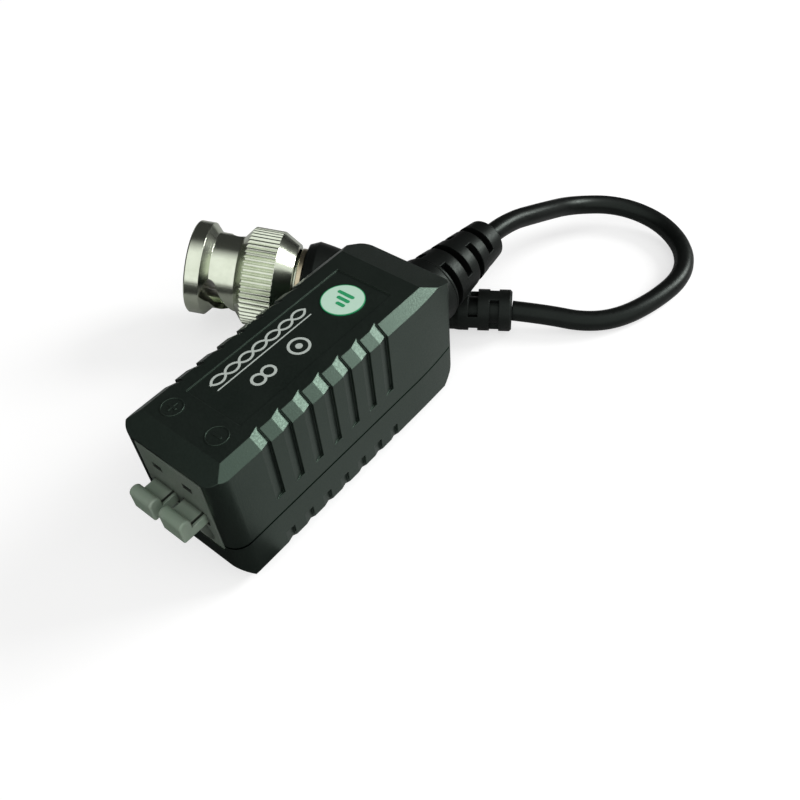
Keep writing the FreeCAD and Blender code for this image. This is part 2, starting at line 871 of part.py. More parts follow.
# Lower shell: floor, posts for the board, tongue, and the tab that closes the
# slot under the neck of the strain relief.
below = block_of("below", half_width + beyond, (-beyond, -beyond), (reach, parting - half_gap))
lower_cover = boolean("Common", "lower_cover", [hollow_case, below])
tab = block_of("tab", neck, (case_length - wall, parting - 1.0),
               (case_length, relief_height - neck * 0.42))
neck_tab = boolean("Cut", "neck_tab", [tab, relief_hole])
post_x = size("board_width") / 2 - size("post_radius")
post_y = (size("board_start") + size("post_inset"),
          size("board_start") + size("board_length") - size("post_inset"))
underside = size("board_underside")
posts = []
for side, hand in ((1, "right"), (-1, "left")):
    for number, y in enumerate(post_y):
        posts.append(rod(f"post_{hand}{number}", (post_x * side, y, wall / 2),
                         size("post_radius"), underside - wall / 2))
        posts.append(rod(f"peg_{hand}{number}", (post_x * side, y, wall / 2),
                         size("post_radius") / 2, board_top - wall / 2))
lower_open = boolean("Cut", "lower_open", [lower_cover] + pockets)
lower_shell = piece(boolean("Fuse", "lower_shell_solid", [lower_open, tongue, neck_tab] + posts),
                    "lower_shell")

label = piece(rod("label_disc", (0, size("label_place"), case_height - size("panel_depth")),
                  size("label_diameter") / 2, size("label_thickness")), "round_label", "own")
bind(label, "Placement.Base.y", size("label_place") + front_face)

# Terminal block: two chambers behind a front wall with a wire funnel, a slot for
# the lever and a test slot for each pole. A steel pin carries both levers.
pole = size("pole_pitch") / 2
front_wall = size("block_front_wall")
chamber_half = size("chamber_width") / 2
chamber_floor = block_base + size("block_wall")
chamber_top = block_top - size("block_wall")
funnel_z = block_base + size("funnel_height")
test_z = block_top - size("test_slot_drop")
pin_x = size("contact_pin_width") / 2
pin_y = size("contact_pin_place")
travel = size("lever_travel")
stem_top = hinge_z - size("stem_drop") + size("stem_height")
press_drop = Size(f"({size('stem_drop').text} / cos({travel.text}) + {hinge_y.text} * tan({travel.text}))",
                  values["stem_drop"] / math.cos(math.radians(travel.number))
                  + hinge_y.number * math.tan(math.radians(travel.number)))


def rectangle(left, right, low, high):
    return [(left, low), (right, low), (right, high), (left, high)]


block = new_body("terminal_block_body")
extrude(block, "body", "XY", [rectangle(-block_half, block_half, 0, size("block_length"))],
        block_base, block_top)
dress(block, "front_edges", "Chamfer", 0.3, lambda edge: all(
    abs(v.Point.y) < 1e-6 for v in edge.Vertexes))
extrude(block, "chambers", "XZ", [
    rectangle(pole * side - chamber_half, pole * side + chamber_half, chamber_floor, chamber_top)
    for side in (-1, 1)
], front_wall, size("block_length") + 1, cut=True)
for side, hand in ((-1, "left"), (1, "right")):
    loft(block, f"funnel_{hand}", "XZ", [
        (0, ("circle", (pole * side, funnel_z), size("funnel_mouth"))),
        (front_wall, ("circle", (pole * side, funnel_z), size("funnel_throat"))),
    ], cut=True)
lever_slot_half = size("lever_width") / 2 + clear
extrude(block, "slots", "XZ", [
    rectangle(pole * side - lever_slot_half, pole * side + lever_slot_half,
              hinge_z - press_drop - size("lever_slot_room"), stem_top + size("lever_slot_room"))
    for side in (-1, 1)
] + [
    rectangle(pole * side - size("test_slot_width") / 2, pole * side + size("test_slot_width") / 2,
              test_z - size("test_slot_height") / 2, test_z + size("test_slot_height") / 2)
    for side in (-1, 1)
], -1, front_wall + 0.5, cut=True)
extrude(block, "pin_seat", "YZ", [
    ("circle", (hinge_y, hinge_z), size("pin_radius") + size("pin_seat_fit")),
], -block_half - 1, block_half + 1, cut=True)
extrude(block, "contact_slots", "XY", [
    rectangle(pole * side - pin_x - clear, pole * side + pin_x + clear, pin_y - 0.4, pin_y + 0.4)
    for side in (-1, 1)
], block_base - 1, chamber_floor + 0.5, cut=True)
piece(block, "terminal_block")

lever_pin = piece(rod("lever_pin_rod", (-block_half, hinge_y, hinge_z), size("pin_radius"),
                      block_half * 2, "X"), "lever_pin", "own")
bind(lever_pin, "Placement.Base.y", hinge_y + front_face)


def make_lever(hand, side):
    """A push lever: a rounded paddle on a flat stem, a hub and a cam under it."""
    lever = new_body(f"lever_{hand}_body")
    half = size("lever_width") / 2
    low = hinge_z - size("stem_drop")
    front = -size("lever_reach")
    back = front + size("paddle_thickness")
    top = low + size("paddle_height")
    extrude(lever, "stem", "YZ", [[
        (front, low), (hinge_y, low), (hinge_y, stem_top), (back, stem_top), (back, top), (front, top),
    ]], -half, half)
    dress(lever, "paddle_top", "Fillet", size("paddle_round"), lambda edge: all(
        abs(v.Point.z - top.number) < 1e-6 for v in edge.Vertexes) and abs(
        edge.Vertexes[0].Point.x - edge.Vertexes[-1].Point.x) > 1)
    dress(lever, "paddle_sides", "Fillet", 0.25, lambda edge: all(
        abs(v.Point.y - front.number) < 1e-6 for v in edge.Vertexes) and abs(
        edge.Vertexes[0].Point.z - edge.Vertexes[-1].Point.z) > 1)
    extrude(lever, "hub", "YZ", [("circle", (hinge_y, hinge_z), size("hub_radius"))], -half, half)
    extrude(lever, "cam", "YZ", [rectangle(
        hinge_y + size("cam_width") * 0.15, hinge_y + size("cam_width"),
        hinge_z - size("cam_length"), hinge_z,
    )], -half * 0.7, half * 0.7)
    extrude(lever, "pin_hole", "YZ", [
        ("circle", (hinge_y, hinge_z), size("pin_radius") + size("pin_running_fit")),
    ], -half - 1, half + 1, cut=True)
    extrude(lever, "stem_groove", "XZ", [
        rectangle(size("stem_groove_place") - size("stem_groove_width") / 2,
                  size("stem_groove_place") + size("stem_groove_width") / 2,
                  stem_top - size("stem_groove_depth"), stem_top + 1),
    ], back, hinge_y - size("hub_radius"), cut=True)
    piece(lever, f"lever_{hand}")
    bind(lever, "Placement.Base.x", pole * side)
    return lever


def make_contact(hand, side):
    """A flat bar on the floor of the chamber, with a pin through the board."""
    contact = new_body(f"contact_{hand}_body")
    half = size("strip_width") / 2
    bar_top = chamber_floor + size("contact_thickness")
    extrude(contact, "bar", "XY", [rectangle(-half, half, front_wall + clear * 4,
                                             size("block_length") - clear * 2)],
            chamber_floor, bar_top)
    extrude(contact, "pin", "XY", [rectangle(-pin_x, pin_x, pin_y - 0.3, pin_y + 0.3)],
            size("board_underside") - size("contact_pin_stub"), chamber_floor + 0.1)
    piece(contact, f"contact_{hand}")
    bind(contact, "Placement.Base.x", pole * side)
    return contact


def make_spring(hand, side):
    """A strip bent into a narrow U: its long leaf clamps the wire from above."""
    spring = new_body(f"clamp_spring_{hand}_body")
    half = size("strip_width") / 2
    skin = size("spring_thickness") / 2
    foot = chamber_floor + size("contact_thickness")
    back = size("spring_back")
    bend = size("spring_bend")
    middle = back - bend
    turn_z = block_top - size("spring_top_drop")
    front = middle - bend
    tip = size("spring_tip")
    tip_z = block_base + size("spring_tip_height")
    extrude(spring, "strip", "YZ", [[
        (back + skin, foot),
        (back + skin, turn_z, bend + skin, 1),
        (middle, turn_z + bend + skin, bend + skin, 1),
        (front - skin, turn_z),
        (tip - skin, tip_z),
        (tip + skin, tip_z),
        (front + skin, turn_z, bend - skin, -1),
        (middle, turn_z + bend - skin, bend - skin, -1),
        (back - skin, turn_z),
        (back - skin, foot),
    ]], -half, half)
    piece(spring, f"clamp_spring_{hand}")
    bind(spring, "Placement.Base.x", pole * side)
    return spring


for hand, side in (("left", -1), ("right", 1)):
    make_lever(hand, side)
    make_contact(hand, side)
    make_spring(hand, side)

# Circuit board on the posts, with a ring core and its two windings, a disc
# capacitor, a surge suppressor and a resistor.
lead_holes = (
    (size("capacitor_radius") * 0.6, size("capacitor_place")),
    (size("suppressor_radius") * 0.6, size("suppressor_place")),
    (size("resistor_length") / 2 + 0.75, size("resistor_place")),
)
board = new_body("circuit_board_body")
board_half = size("board_width") / 2
board_end = size("board_start") + size("board_length")
extrude(board, "plate", "XY", [
    rectangle(-board_half, board_half, size("board_start"), board_end),
] + [
    rectangle(pole * side - pin_x - clear, pole * side + pin_x + clear, pin_y - 0.4, pin_y + 0.4)
    for side in (-1, 1)
] + [
    ("circle", (post_x * side, y), size("post_radius") / 2 + 0.05)
    for side in (-1, 1) for y in post_y
] + [
    ("circle", (x * side, y), size("lead_radius") + 0.05)
    for x, y in lead_holes for side in (-1, 1)
], underside, board_top)
piece(board, "circuit_board")

gauge = size("turn_gauge")
core_base = board_top + gauge + 0.05
core_y = size("core_place")
core = new_body("ferrite_core_body")
extrude(core, "ring", "XY", [
    ("circle", (0, 0), size("core_outer")), ("circle", (0, 0), size("core_bore")),
], core_base, core_base + size("core_height"))
piece(core, "ferrite_core")
bind(core, "Placement.Base.y", core_y + front_face)


def make_winding(name, turn_from):
    """Turns of enamelled wire side by side round a part of the ring core."""
    winding = new_body(name + "_body")
    inner, outer = size("core_bore"), size("core_outer")
    low, high = core_base, core_base + size("core_height")
    fit = 0.05
    turn = extrude(winding, "turn", "XZ", [
        rectangle(inner - gauge - fit, outer + gauge + fit, low - gauge - fit, high + gauge + fit),
        rectangle(inner - fit, outer + fit, low - fit, high + fit),
    ], -gauge / 2, gauge / 2)
    pattern = winding.newObject("PartDesign::PolarPattern", "turns")
    pattern.Originals = [turn]
    pattern.Axis = (origin_plane(winding, "Z_Axis"), [""])
    pattern.Mode = "Spacing"
    bind(pattern, "Offset", size("turn_step"))
    bind(pattern, "Occurrences", size("turn_count"))
    pattern.Refine = False
    finish_feature(winding, pattern, False)
    piece(winding, name)
    bind(winding, "Placement.Base.y", core_y + front_face)
    bind(winding, "Placement.Rotation.Angle", turn_from)
    return winding


make_winding("primary_winding", as_size(35.0))
make_winding("secondary_winding", as_size(215.0))


def make_disc(name, label, radius, thickness, place):
    """A coated disc that stands on two leads."""
    gap = size("lead_stub")
    body = rod(name + "_disc", (0, place - thickness / 2, board_top + gap + radius),
               radius, thickness, "Y")
    leads = [rod(f"{name}_lead_{hand}", (radius * 0.6 * side, place, underside - 0.6),
                 size("lead_radius"), board_top + gap + radius - underside + 0.6)
             for side, hand in ((-1, "left"), (1, "right"))]
    return piece(boolean("Fuse", name + "_solid", [body] + leads), label)


make_disc("capacitor", "disc_capacitor", size("capacitor_radius"), size("capacitor_thickness"),
          size("capacitor_place"))
make_disc("suppressor", "surge_suppressor", size("suppressor_radius"),
          size("suppressor_thickness"), size("suppressor_place"))

resistor_z = board_top + size("resistor_radius") + 0.1
resistor_x = size("resistor_length") / 2
resistor_solid = [rod("resistor_body", (-resistor_x, size("resistor_place"), resistor_z),
                      size("resistor_radius"), resistor_x * 2, "X")]
for side, hand in ((-1, "left"), (1, "right")):
    wire = rod(f"resistor_wire_{hand}",
               (resistor_x * side - 0.9 * (1 if side < 0 else 0.1), size("resistor_place"),
                resistor_z), size("lead_radius"), 1.0, "X")
    foot = rod(f"resistor_foot_{hand}",
               (resistor_x * side + 0.75 * side, size("resistor_place"), underside - 0.6),
               size("lead_radius"), resistor_z - underside + 0.6)
    resistor_solid += [wire, foot]
piece(boolean("Fuse", "resistor_solid", resistor_solid), "resistor")


# Strain relief of the housing, moulded along its own axis from the rear face.
def arc_slots(body, name, plane, stations, width, core, turn_angle):
    """Slots across the axis, on two opposite sides, that leave a core and two webs."""
    outlines = []
    for place in stations:
        for side in (-1, 1):
            outlines.append(rectangle(core * side, as_size(8.0) * side,
                                      place - width / 2, place + width / 2))
    return turn(body, name, outlines, plane, cut=True, angle=turn_angle)


relief = new_body("strain_relief_body")
relief_length = size("relief_length")
flange_from = wall + size("relief_flange_gap") + size("relief_flange_thickness")
collar_length = size("relief_collar_length")
edge = 0.35
turn(relief, "form", [[
    (0, -flange_from),
    (size("relief_flange_radius"), -flange_from),
    (size("relief_flange_radius"), -wall - size("relief_flange_gap")),
    (neck, -wall - size("relief_flange_gap")),
    (neck, 0),
    (size("relief_collar_radius"), 0),
    (size("relief_collar_radius"), collar_length - edge),
    (size("relief_collar_radius") - edge, collar_length),
    (size("relief_taper_start"), collar_length),
    (size("relief_taper_end"), relief_length - edge),
    (size("relief_taper_end") - edge, relief_length),
    (0, relief_length),
]])
first = size("relief_slot_first")
step = size("relief_slot_pitch")
arc_slots(relief, "side_slots", "XZ", [first, first + step * 2], size("relief_slot_width"),
          size("relief_core"), size("relief_slot_turn"))
arc_slots(relief, "upper_and_lower_slots", "YZ", [first + step, first + step * 3],
          size("relief_slot_width"), size("relief_core"), size("relief_slot_turn"))
piece(relief, "cord_strain_relief", "relief")

# Inside, the stripped end of the cord: its centre lead and its twisted braid
# both end on the board.
inner_end = (case_length - flange_from).number
lead_z = relief_height.number
top_z = board_top.number
back_y = board_end.number - 1.0


def moved(points):
    return [(x, y + front_face.number, z) for x, y, z in points]


centre_route = moved([
    (0.7, inner_end, lead_z + 0.5),
    (0.7, inner_end - 1.7, lead_z + 0.5),
    (1.4, back_y + 1.6, lead_z - 0.6),
    (1.8, back_y, top_z + 2.0),
    (1.8, back_y, top_z),
])
braid_route = moved([
    (-0.9, inner_end, lead_z - 0.7),
    (-0.9, inner_end - 1.5, lead_z - 0.7),
    (-1.6, back_y + 1.7, lead_z - 1.4),
    (-2.2, back_y, top_z + 1.9),
    (-2.2, back_y, top_z),
])
for label, route, radius in (("coax_centre_lead", centre_route, size("centre_lead_radius")),
                             ("coax_braid_tail", braid_route, size("braid_radius"))):
    solid, length, radii = tube_along(route, radius.number)
    lead = doc.addObject("Part::Feature", label + "_solid")
    lead.Shape = solid
    piece(lead, label, "fixed")

# Plug: every piece is turned about the plug's own axis, which starts at the
# front face of the coupling nut.
bore = size("nut_bore")
nut_room = size("nut_room_radius")
nut_length = size("nut_length")
shoulder = size("shoulder_place")
shoulder_rear = shoulder + size("shoulder_length")
knurl = size("knurl_radius")
knurl_from = size("knurl_start")
knurl_to = knurl_from + size("knurl_length")
running = size("body_radius") + size("nut_running_fit")
nut_edge = size("nut_edge")
band = size("nut_band_radius")
nut = new_body("coupling_nut_body")
turn(nut, "form", [[
    (bore + nut_edge * 2, 0),
    (size("nut_flange_radius") - nut_edge, 0),
    (size("nut_flange_radius"), nut_edge),
    (size("nut_flange_radius"), size("nut_flange_length")),
    (band, size("nut_band_start")),
    (band, size("nut_band_end")),
    (knurl - nut_edge, knurl_from),
    (knurl, knurl_from + nut_edge),
    (knurl, knurl_to),
    (size("nut_tail_radius"), nut_length),
    (nut_room, nut_length),
    (nut_room, shoulder_rear),
    (running, shoulder_rear),
    (running, shoulder),
    (nut_room, shoulder),
    (nut_room, size("nut_band_end") + 0.1),
    (bore, size("nut_band_end") - 0.3),
    (bore, nut_edge * 2),
]])
groove = extrude(nut, "knurl_groove", "XY", [[
    (knurl - size("knurl_depth"), 0),
    (knurl + 0.2, knurl * -3.4 / size("knurl_count")),
    (knurl + 0.2, knurl * 3.4 / size("knurl_count")),
]], knurl_from - 0.4, knurl_to, cut=True)
around(nut, "knurl", [groove], size("knurl_count"), True)

# Bayonet slots: a slanted window with round ends in the band, and inside it an
# entry groove for the stud from the front edge to where the window starts.
half_slot = size("slot_width") / 2
half_turn = size("slot_half_turn")
mid_radius = (bore + band) / 2
slot_side = mid_radius * Size(f"sin({half_turn.text})", math.sin(math.radians(half_turn.number)))
slot_low = size("slot_start")
slot_high = slot_low + size("slot_rise")
slot_span = root(slot_side * slot_side * 4 + size("slot_rise") * size("slot_rise"))
along_y = slot_side * 2 / slot_span * half_slot
along_z = size("slot_rise") / slot_span * half_slot
cam_slot = extrude(nut, "cam_slot", "YZ", [[
    (-slot_side + along_z, slot_low - along_y),
    (slot_side + along_z, slot_high - along_y, half_slot, 1),
    (slot_side + along_y, slot_high + along_z, half_slot, 1),
    (slot_side - along_z, slot_high + along_y),
    (-slot_side - along_z, slot_low + along_y, half_slot, 1),
    (-slot_side - along_y, slot_low - along_z, half_slot, 1),
]], 0, size("nut_flange_radius") + 1, cut=True)
entry_sketch = new_sketch(nut, "slot_entry_sketch", "XY", -1)
entry_sketch.AttachmentOffset = FreeCAD.Placement(
    FreeCAD.Vector(0, 0, -1), FreeCAD.Rotation(FreeCAD.Vector(0, 0, 1), -half_turn.number)
)
bind(entry_sketch, "AttachmentOffset.Rotation.Angle", -half_turn)
draw_outline(entry_sketch, "p", rectangle(as_size(1.0), bore + size("entry_depth"), -half_slot, half_slot))
before_entry = nut.Tip
slot_entry = nut.newObject("PartDesign::Pocket", "slot_entry")
slot_entry.Profile = entry_sketch
slot_entry.Reversed = True
bind(slot_entry, "Length", slot_low + 1)
nut.Tip = before_entry
finish_feature(nut, slot_entry, True)
around(nut, "cam_slots", [cam_slot, slot_entry], as_size(2), True)
piece(nut, "coupling_nut", "nut")

# Fixed body of the plug inside the nut, with the contacts and their insulator.
body_radius = size("body_radius")
body_front = size("body_front")
body_end = body_front + size("body_length")
collar_end = body_front + size("body_collar_length")
sleeve_radius = size("sleeve_radius")
insulator_end = body_front + size("insulator_length")
groove_from = size("ring_groove_place")
groove_to = groove_from + size("ring_gauge") + 0.05
groove_floor = body_radius - size("ring_groove_depth")
stub = size("stub_radius")
stub_end = body_end + size("stub_length")
sleeve_seat = collar_end + 0.6
plug_body = new_body("plug_body_body")
turn(plug_body, "form", [[
    (sleeve_radius + 0.02, body_front),
    (size("body_collar_radius"), body_front),
    (size("body_collar_radius"), collar_end),
    (body_radius, collar_end),
    (body_radius, groove_from),
    (groove_floor, groove_from),
    (groove_floor, groove_to),
    (body_radius, groove_to),
    (body_radius, body_end),
    (stub, body_end),
    (stub, stub_end),
    (size("body_passage"), stub_end),
    (size("body_passage"), insulator_end),
    (size("insulator_radius") + 0.02, insulator_end),
    (size("insulator_radius") + 0.02, sleeve_seat),
    (sleeve_radius + 0.02, sleeve_seat),
]])
piece(plug_body, "plug_body", "plug")

sleeve = new_body("contact_sleeve_body")
sleeve_bore = sleeve_radius - size("sleeve_wall")
sleeve_front = size("sleeve_front")
turn(sleeve, "form", [[
    (sleeve_bore, sleeve_front),
    (sleeve_radius - 0.15, sleeve_front),
    (sleeve_radius, sleeve_front + 0.5),
    (sleeve_radius, sleeve_seat),
    (sleeve_bore, sleeve_seat),
]])
slit = extrude(sleeve, "slit", "XY", [
    rectangle(sleeve_bore - 1, sleeve_radius + 1, -size("sleeve_slit") / 2, size("sleeve_slit") / 2),
], sleeve_front - 1, sleeve_front + size("sleeve_slit_length"), cut=True)
around(sleeve, "slits", [slit], as_size(4), True)
piece(sleeve, "contact_sleeve", "plug")

insulator = new_body("plug_insulator_body")
turn(insulator, "form", [[
    (size("tip_radius") + 0.02, body_front - 0.4),
    (size("insulator_radius"), body_front - 0.4),
    (size("insulator_radius"), insulator_end),
    (size("tip_radius") + 0.02, insulator_end),
]])
piece(insulator, "plug_insulator", "plug")

tip = new_body("centre_pin_body")
tip_front = size("tip_front")
tip_radius = size("tip_radius")
turn(tip, "form", [[
    (0, tip_front),
    (tip_radius * 0.35, tip_front),
    (tip_radius, tip_front + tip_radius * 1.4),
    (tip_radius, tip_front + size("tip_length")),
    (0, tip_front + size("tip_length")),
]])
piece(tip, "centre_pin", "plug")


def make_ring(label, outline):
    ring = new_body(label + "_body")
    turn(ring, "form", [outline])
    return piece(ring, label, "plug")


make_ring("gasket", [
    (sleeve_radius + 0.02, body_front - size("gasket_thickness")),
    (size("body_collar_radius") - 0.25, body_front - size("gasket_thickness")),
    (size("body_collar_radius") - 0.1, body_front - size("gasket_thickness") / 2),
    (size("body_collar_radius") - 0.25, body_front),
    (sleeve_radius + 0.02, body_front),
])
spring_from = body_radius + 0.12
washer_gauge = size("spring_washer_gauge")
make_ring("spring_washer", [
    (spring_from, collar_end),
    (spring_from + 0.05, collar_end),
    (size("washer_outer"), collar_end + size("spring_washer_height") - washer_gauge),
    (size("washer_outer"), collar_end + size("spring_washer_height")),
    (spring_from, collar_end + washer_gauge),
])
washer_to = shoulder - 0.05
make_ring("thrust_washer", rectangle(running, size("washer_outer"),
                                     washer_to - size("washer_gauge"), washer_to))
make_ring("retaining_ring", rectangle(groove_floor + 0.02, size("ring_outer"),
                                      groove_from + 0.02, groove_from + size("ring_gauge")))
rear_ring_end = body_end + size("collar_length")
make_ring("rear_collar", [
    (stub + 0.02, body_end),
    (size("collar_radius") - 0.1, body_end),
    (size("collar_radius"), body_end + 0.1),
    (size("collar_radius"), rear_ring_end - 0.1),
    (size("collar_radius") - 0.1, rear_ring_end),
    (stub + 0.02, rear_ring_end),
])
ferrule_radius = stub + 0.02 + size("ferrule_wall")
ferrule_end = rear_ring_end + size("ferrule_length")
make_ring("crimp_ferrule", rectangle(stub + 0.02, ferrule_radius, rear_ring_end, ferrule_end))

# Boot: a bell over the back of the plug, a short bend, and a slotted tail that
# lies level. The bend takes its own radius on both sides of the corner.
boot_front = rear_ring_end + size("boot_gap")
tilt_down = size("plug_tilt")
bend_radius = size("boot_bend_radius")
bend_back = bend_radius * Size(f"tan({tilt_down.text} / 2)",
                               math.tan(math.radians(tilt_down.number) / 2))
bend_from = size("boot_bend") - bend_back
waist = size("boot_waist_radius")
bell = new_body("boot_bell")
turn(bell, "form", [[
    (0, ferrule_end + 0.05),
    (ferrule_radius + 0.02, ferrule_end + 0.05),
    (ferrule_radius + 0.02, boot_front),
    (size("boot_mouth_radius"), boot_front),
    (size("boot_bell_radius"), size("boot_bell_place"), size("boot_shoulder_round"), 1),
    (size("boot_neck_radius"), size("boot_neck_place"), size("boot_hollow_round"), -1),
    (waist, bend_from),
    (0, bend_from),
]])
bend_sketch = new_sketch(bell, "bend_sketch", "XY", bend_from)
bind(bend_sketch, "AttachmentOffset.Base.x", -bend_radius)
draw_circle(bend_sketch, "c", (bend_radius, 0), waist)
before_bend = bell.Tip
boot_corner = bell.newObject("PartDesign::Revolution", "bend")
boot_corner.Profile = bend_sketch
boot_corner.ReferenceAxis = (bend_sketch, ["V_Axis"])
boot_corner.Reversed = True
bind(boot_corner, "Angle", tilt_down)
bell.Tip = before_bend
finish_feature(bell, boot_corner, False)
tail = new_body("boot_tail")
tail_length = size("boot_tail_length")
ring_radius = size("boot_ring_radius")
boot_step = tail_length * 0.27
boot_slot = tail_length * 0.122
first_slot = tail_length * 0.504
turn(tail, "form", [[
    (0, bend_back),
    (waist, bend_back),
    (waist, tail_length * 0.26),
    (ring_radius, tail_length * 0.32),
    (ring_radius, tail_length - 0.3),
    (ring_radius - 0.3, tail_length),
    (0, tail_length),
]])
arc_slots(tail, "upper_and_lower_slots", "XZ", [first_slot], boot_slot, size("boot_core"),
          size("relief_slot_turn"))
arc_slots(tail, "side_slots", "YZ", [first_slot + boot_step], boot_slot, size("boot_core"),
          size("relief_slot_turn"))
tail.setExpression("Placement", "placement(vector(0; 0; Sizes.boot_bend); "
                   "rotation(vector(0; 1; 0); 0 - Sizes.plug_tilt))")
doc.recompute()
piece(boolean("Fuse", "plug_boot_solid", [bell, tail]), "plug_boot", "plug")

# Cord: out of the strain relief, round in a small loop on the surface, and back
# under itself into the tail of the boot.
cord_radius = size("cord_diameter").number / 2
heading = math.radians(values["plug_heading"])
tilt = math.radians(values["plug_tilt"])
bend_run = values["boot_bend"] * math.cos(tilt) + values["boot_tail_length"]
boot_end = (
    values["plug_across"] + bend_run * math.cos(heading),
    values["plug_along"] + bend_run * math.sin(heading),
    values["plug_height"] - values["boot_bend"] * math.sin(tilt),
)
lead_in = 5.0
cord_route = moved([
    (0, relief_end.number, lead_z),
    (0, 65.7, lead_z),
    (1.8, 73.0, 8.1),
    (2.18, 81.39, 5.0),
    (7.49, 87.71, 3.2),
    (14.62, 89.01, 2.2),
    (21.07, 85.45, 1.7),
    (23.83, 78.53, 1.6),
    (22.5, 71.0, 1.55),
    (19.8, 65.3, 1.7),
    (16.6, 61.2, 2.2),
    (boot_end[0] + lead_in * math.cos(heading), boot_end[1] + lead_in * math.sin(heading),
     boot_end[2]),
    boot_end,
])
cord_solid, cord_length, cord_radii = tube_along(cord_route, cord_radius)
cord = doc.addObject("Part::Feature", "cord_solid")
cord.Shape = cord_solid
piece(cord, "cord", "fixed")
section = math.pi * cord_radius**2
print("cord length", round(cord_length, 2), "radii", [round(r, 1) for r in cord_radii])
print("cord volume", round(cord_solid.Volume, 2), "section times length",
      round(section * cord_length, 2))

doc.recompute()
for thing in doc.Objects:
    if failed(thing):
        raise RuntimeError(f"{thing.Label} is {thing.State}")
os.makedirs("parts", exist_ok=True)
for thing in pieces:
    shape = thing.Shape
    if shape.isNull() or not shape.isValid():
        raise RuntimeError(f"{thing.Label} has no valid shape")
for thing in pieces:
    thing.Shape.exportStep(f"parts/{thing.Label}.step")
print(len(pieces), "pieces")
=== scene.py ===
import math

import bmesh
import bpy
from mathutils import Euler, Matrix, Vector


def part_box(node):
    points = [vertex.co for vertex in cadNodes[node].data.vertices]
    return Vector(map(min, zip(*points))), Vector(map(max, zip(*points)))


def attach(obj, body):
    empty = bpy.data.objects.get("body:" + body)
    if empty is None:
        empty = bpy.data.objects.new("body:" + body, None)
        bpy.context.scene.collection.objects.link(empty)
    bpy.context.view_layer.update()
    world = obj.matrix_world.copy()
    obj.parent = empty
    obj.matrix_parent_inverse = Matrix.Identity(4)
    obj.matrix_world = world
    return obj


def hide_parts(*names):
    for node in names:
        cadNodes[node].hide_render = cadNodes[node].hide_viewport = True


# A camera signal converter on a pale table: push terminals, a moulded housing,
# and a short lead that loops back to a bayonet plug. Metres, Z up.

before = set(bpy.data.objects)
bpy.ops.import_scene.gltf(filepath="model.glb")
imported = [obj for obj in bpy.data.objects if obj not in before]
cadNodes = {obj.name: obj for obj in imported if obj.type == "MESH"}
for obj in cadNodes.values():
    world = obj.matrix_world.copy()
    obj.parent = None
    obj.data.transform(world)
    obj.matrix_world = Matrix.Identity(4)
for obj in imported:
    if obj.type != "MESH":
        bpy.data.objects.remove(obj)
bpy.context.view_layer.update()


def deselectAll():
    if bpy.context.object and bpy.context.object.mode != "OBJECT":
        bpy.ops.object.mode_set(mode="OBJECT")
    bpy.ops.object.select_all(action="DESELECT")


deselectAll()

viewpoint = {
    "place": (0.05820, -0.05272, 0.08896),
    "tilt": (42.033, 3.854, 38.852),  # degrees about x, y and z
    "lens": 38.06,
    "sensor": 36,
    "nearest": 0.005,
}


def setCamera():
    bpy.ops.object.camera_add(
        location=viewpoint["place"],
        rotation=[math.radians(angle) for angle in viewpoint["tilt"]],
    )
    camera = bpy.context.object
    camera.name = "photoCamera"
    camera.data.lens = viewpoint["lens"]
    camera.data.sensor_width = viewpoint["sensor"]
    camera.data.clip_start = viewpoint["nearest"]
    bpy.context.scene.camera = camera
    deselectAll()


setCamera()
print("camera placed")


def feed(tree, socket, value):
    # a socket is linked, and a plain value is typed in
    if isinstance(value, bpy.types.NodeSocket):
        tree.links.new(value, socket)
    else:
        socket.default_value = value


def setInputs(tree, node, inputs):
    for name, value in inputs.items():
        feed(tree, node.inputs[name], value)


def addNode(tree, kind, inputs=None, **settings):
    node = tree.nodes.new(kind)
    for name, value in settings.items():
        setattr(node, name, value)
    setInputs(tree, node, inputs or {})
    return node


def startMaterial(name, colour):
    material = bpy.data.materials.new(name)
    material.use_nodes = True
    material.diffuse_color = (*colour, 1)
    tree = material.node_tree
    shader = tree.nodes["Principled BSDF"]
    return material, tree, shader


def objectPoint(tree):
    return addNode(tree, "ShaderNodeTexCoord").outputs["Object"]


def speckle(tree, point, size, detail=3.0, roughness=0.55):
    noise = addNode(
        tree,
        "ShaderNodeTexNoise",
        {"Vector": point, "Scale": 1 / size, "Detail": detail, "Roughness": roughness},
    )
    return noise.outputs[0]


def remap(tree, value, fromLow, fromHigh, toLow, toHigh):
    inputs = {
        "Value": value,
        "From Min": fromLow,
        "From Max": fromHigh,
        "To Min": toLow,
        "To Max": toHigh,
    }
    return addNode(tree, "ShaderNodeMapRange", inputs).outputs[0]


def arithmetic(tree, operation, first, second=0.0):
    node = addNode(tree, "ShaderNodeMath", {0: first, 1: second}, operation=operation)
    return node.outputs[0]


def blendColours(tree, factor, first, second):
    node = addNode(tree, "ShaderNodeMix", {0: factor}, data_type="RGBA")
    for index, colour in ((6, first), (7, second)):
        linked = isinstance(colour, bpy.types.NodeSocket)
        feed(tree, node.inputs[index], colour if linked else (*colour, 1))
    return node.outputs[2]


edgeFinish = {
    "samples": 6,
    "flat": 0.995,  # cosines between the true and the rounded normal
    "turned": 0.86,
}


def softEdges(tree, radius):
    # rounded normals near sharp edges, and how near an edge a point is
    bevel = addNode(
        tree, "ShaderNodeBevel", {"Radius": radius}, samples=edgeFinish["samples"]
    ).outputs[0]
    true = addNode(tree, "ShaderNodeNewGeometry").outputs["Normal"]
    likeness = addNode(
        tree, "ShaderNodeVectorMath", {0: bevel, 1: true}, operation="DOT_PRODUCT"
    ).outputs["Value"]
    nearness = remap(tree, likeness, edgeFinish["flat"], edgeFinish["turned"], 0, 1)
    return bevel, nearness


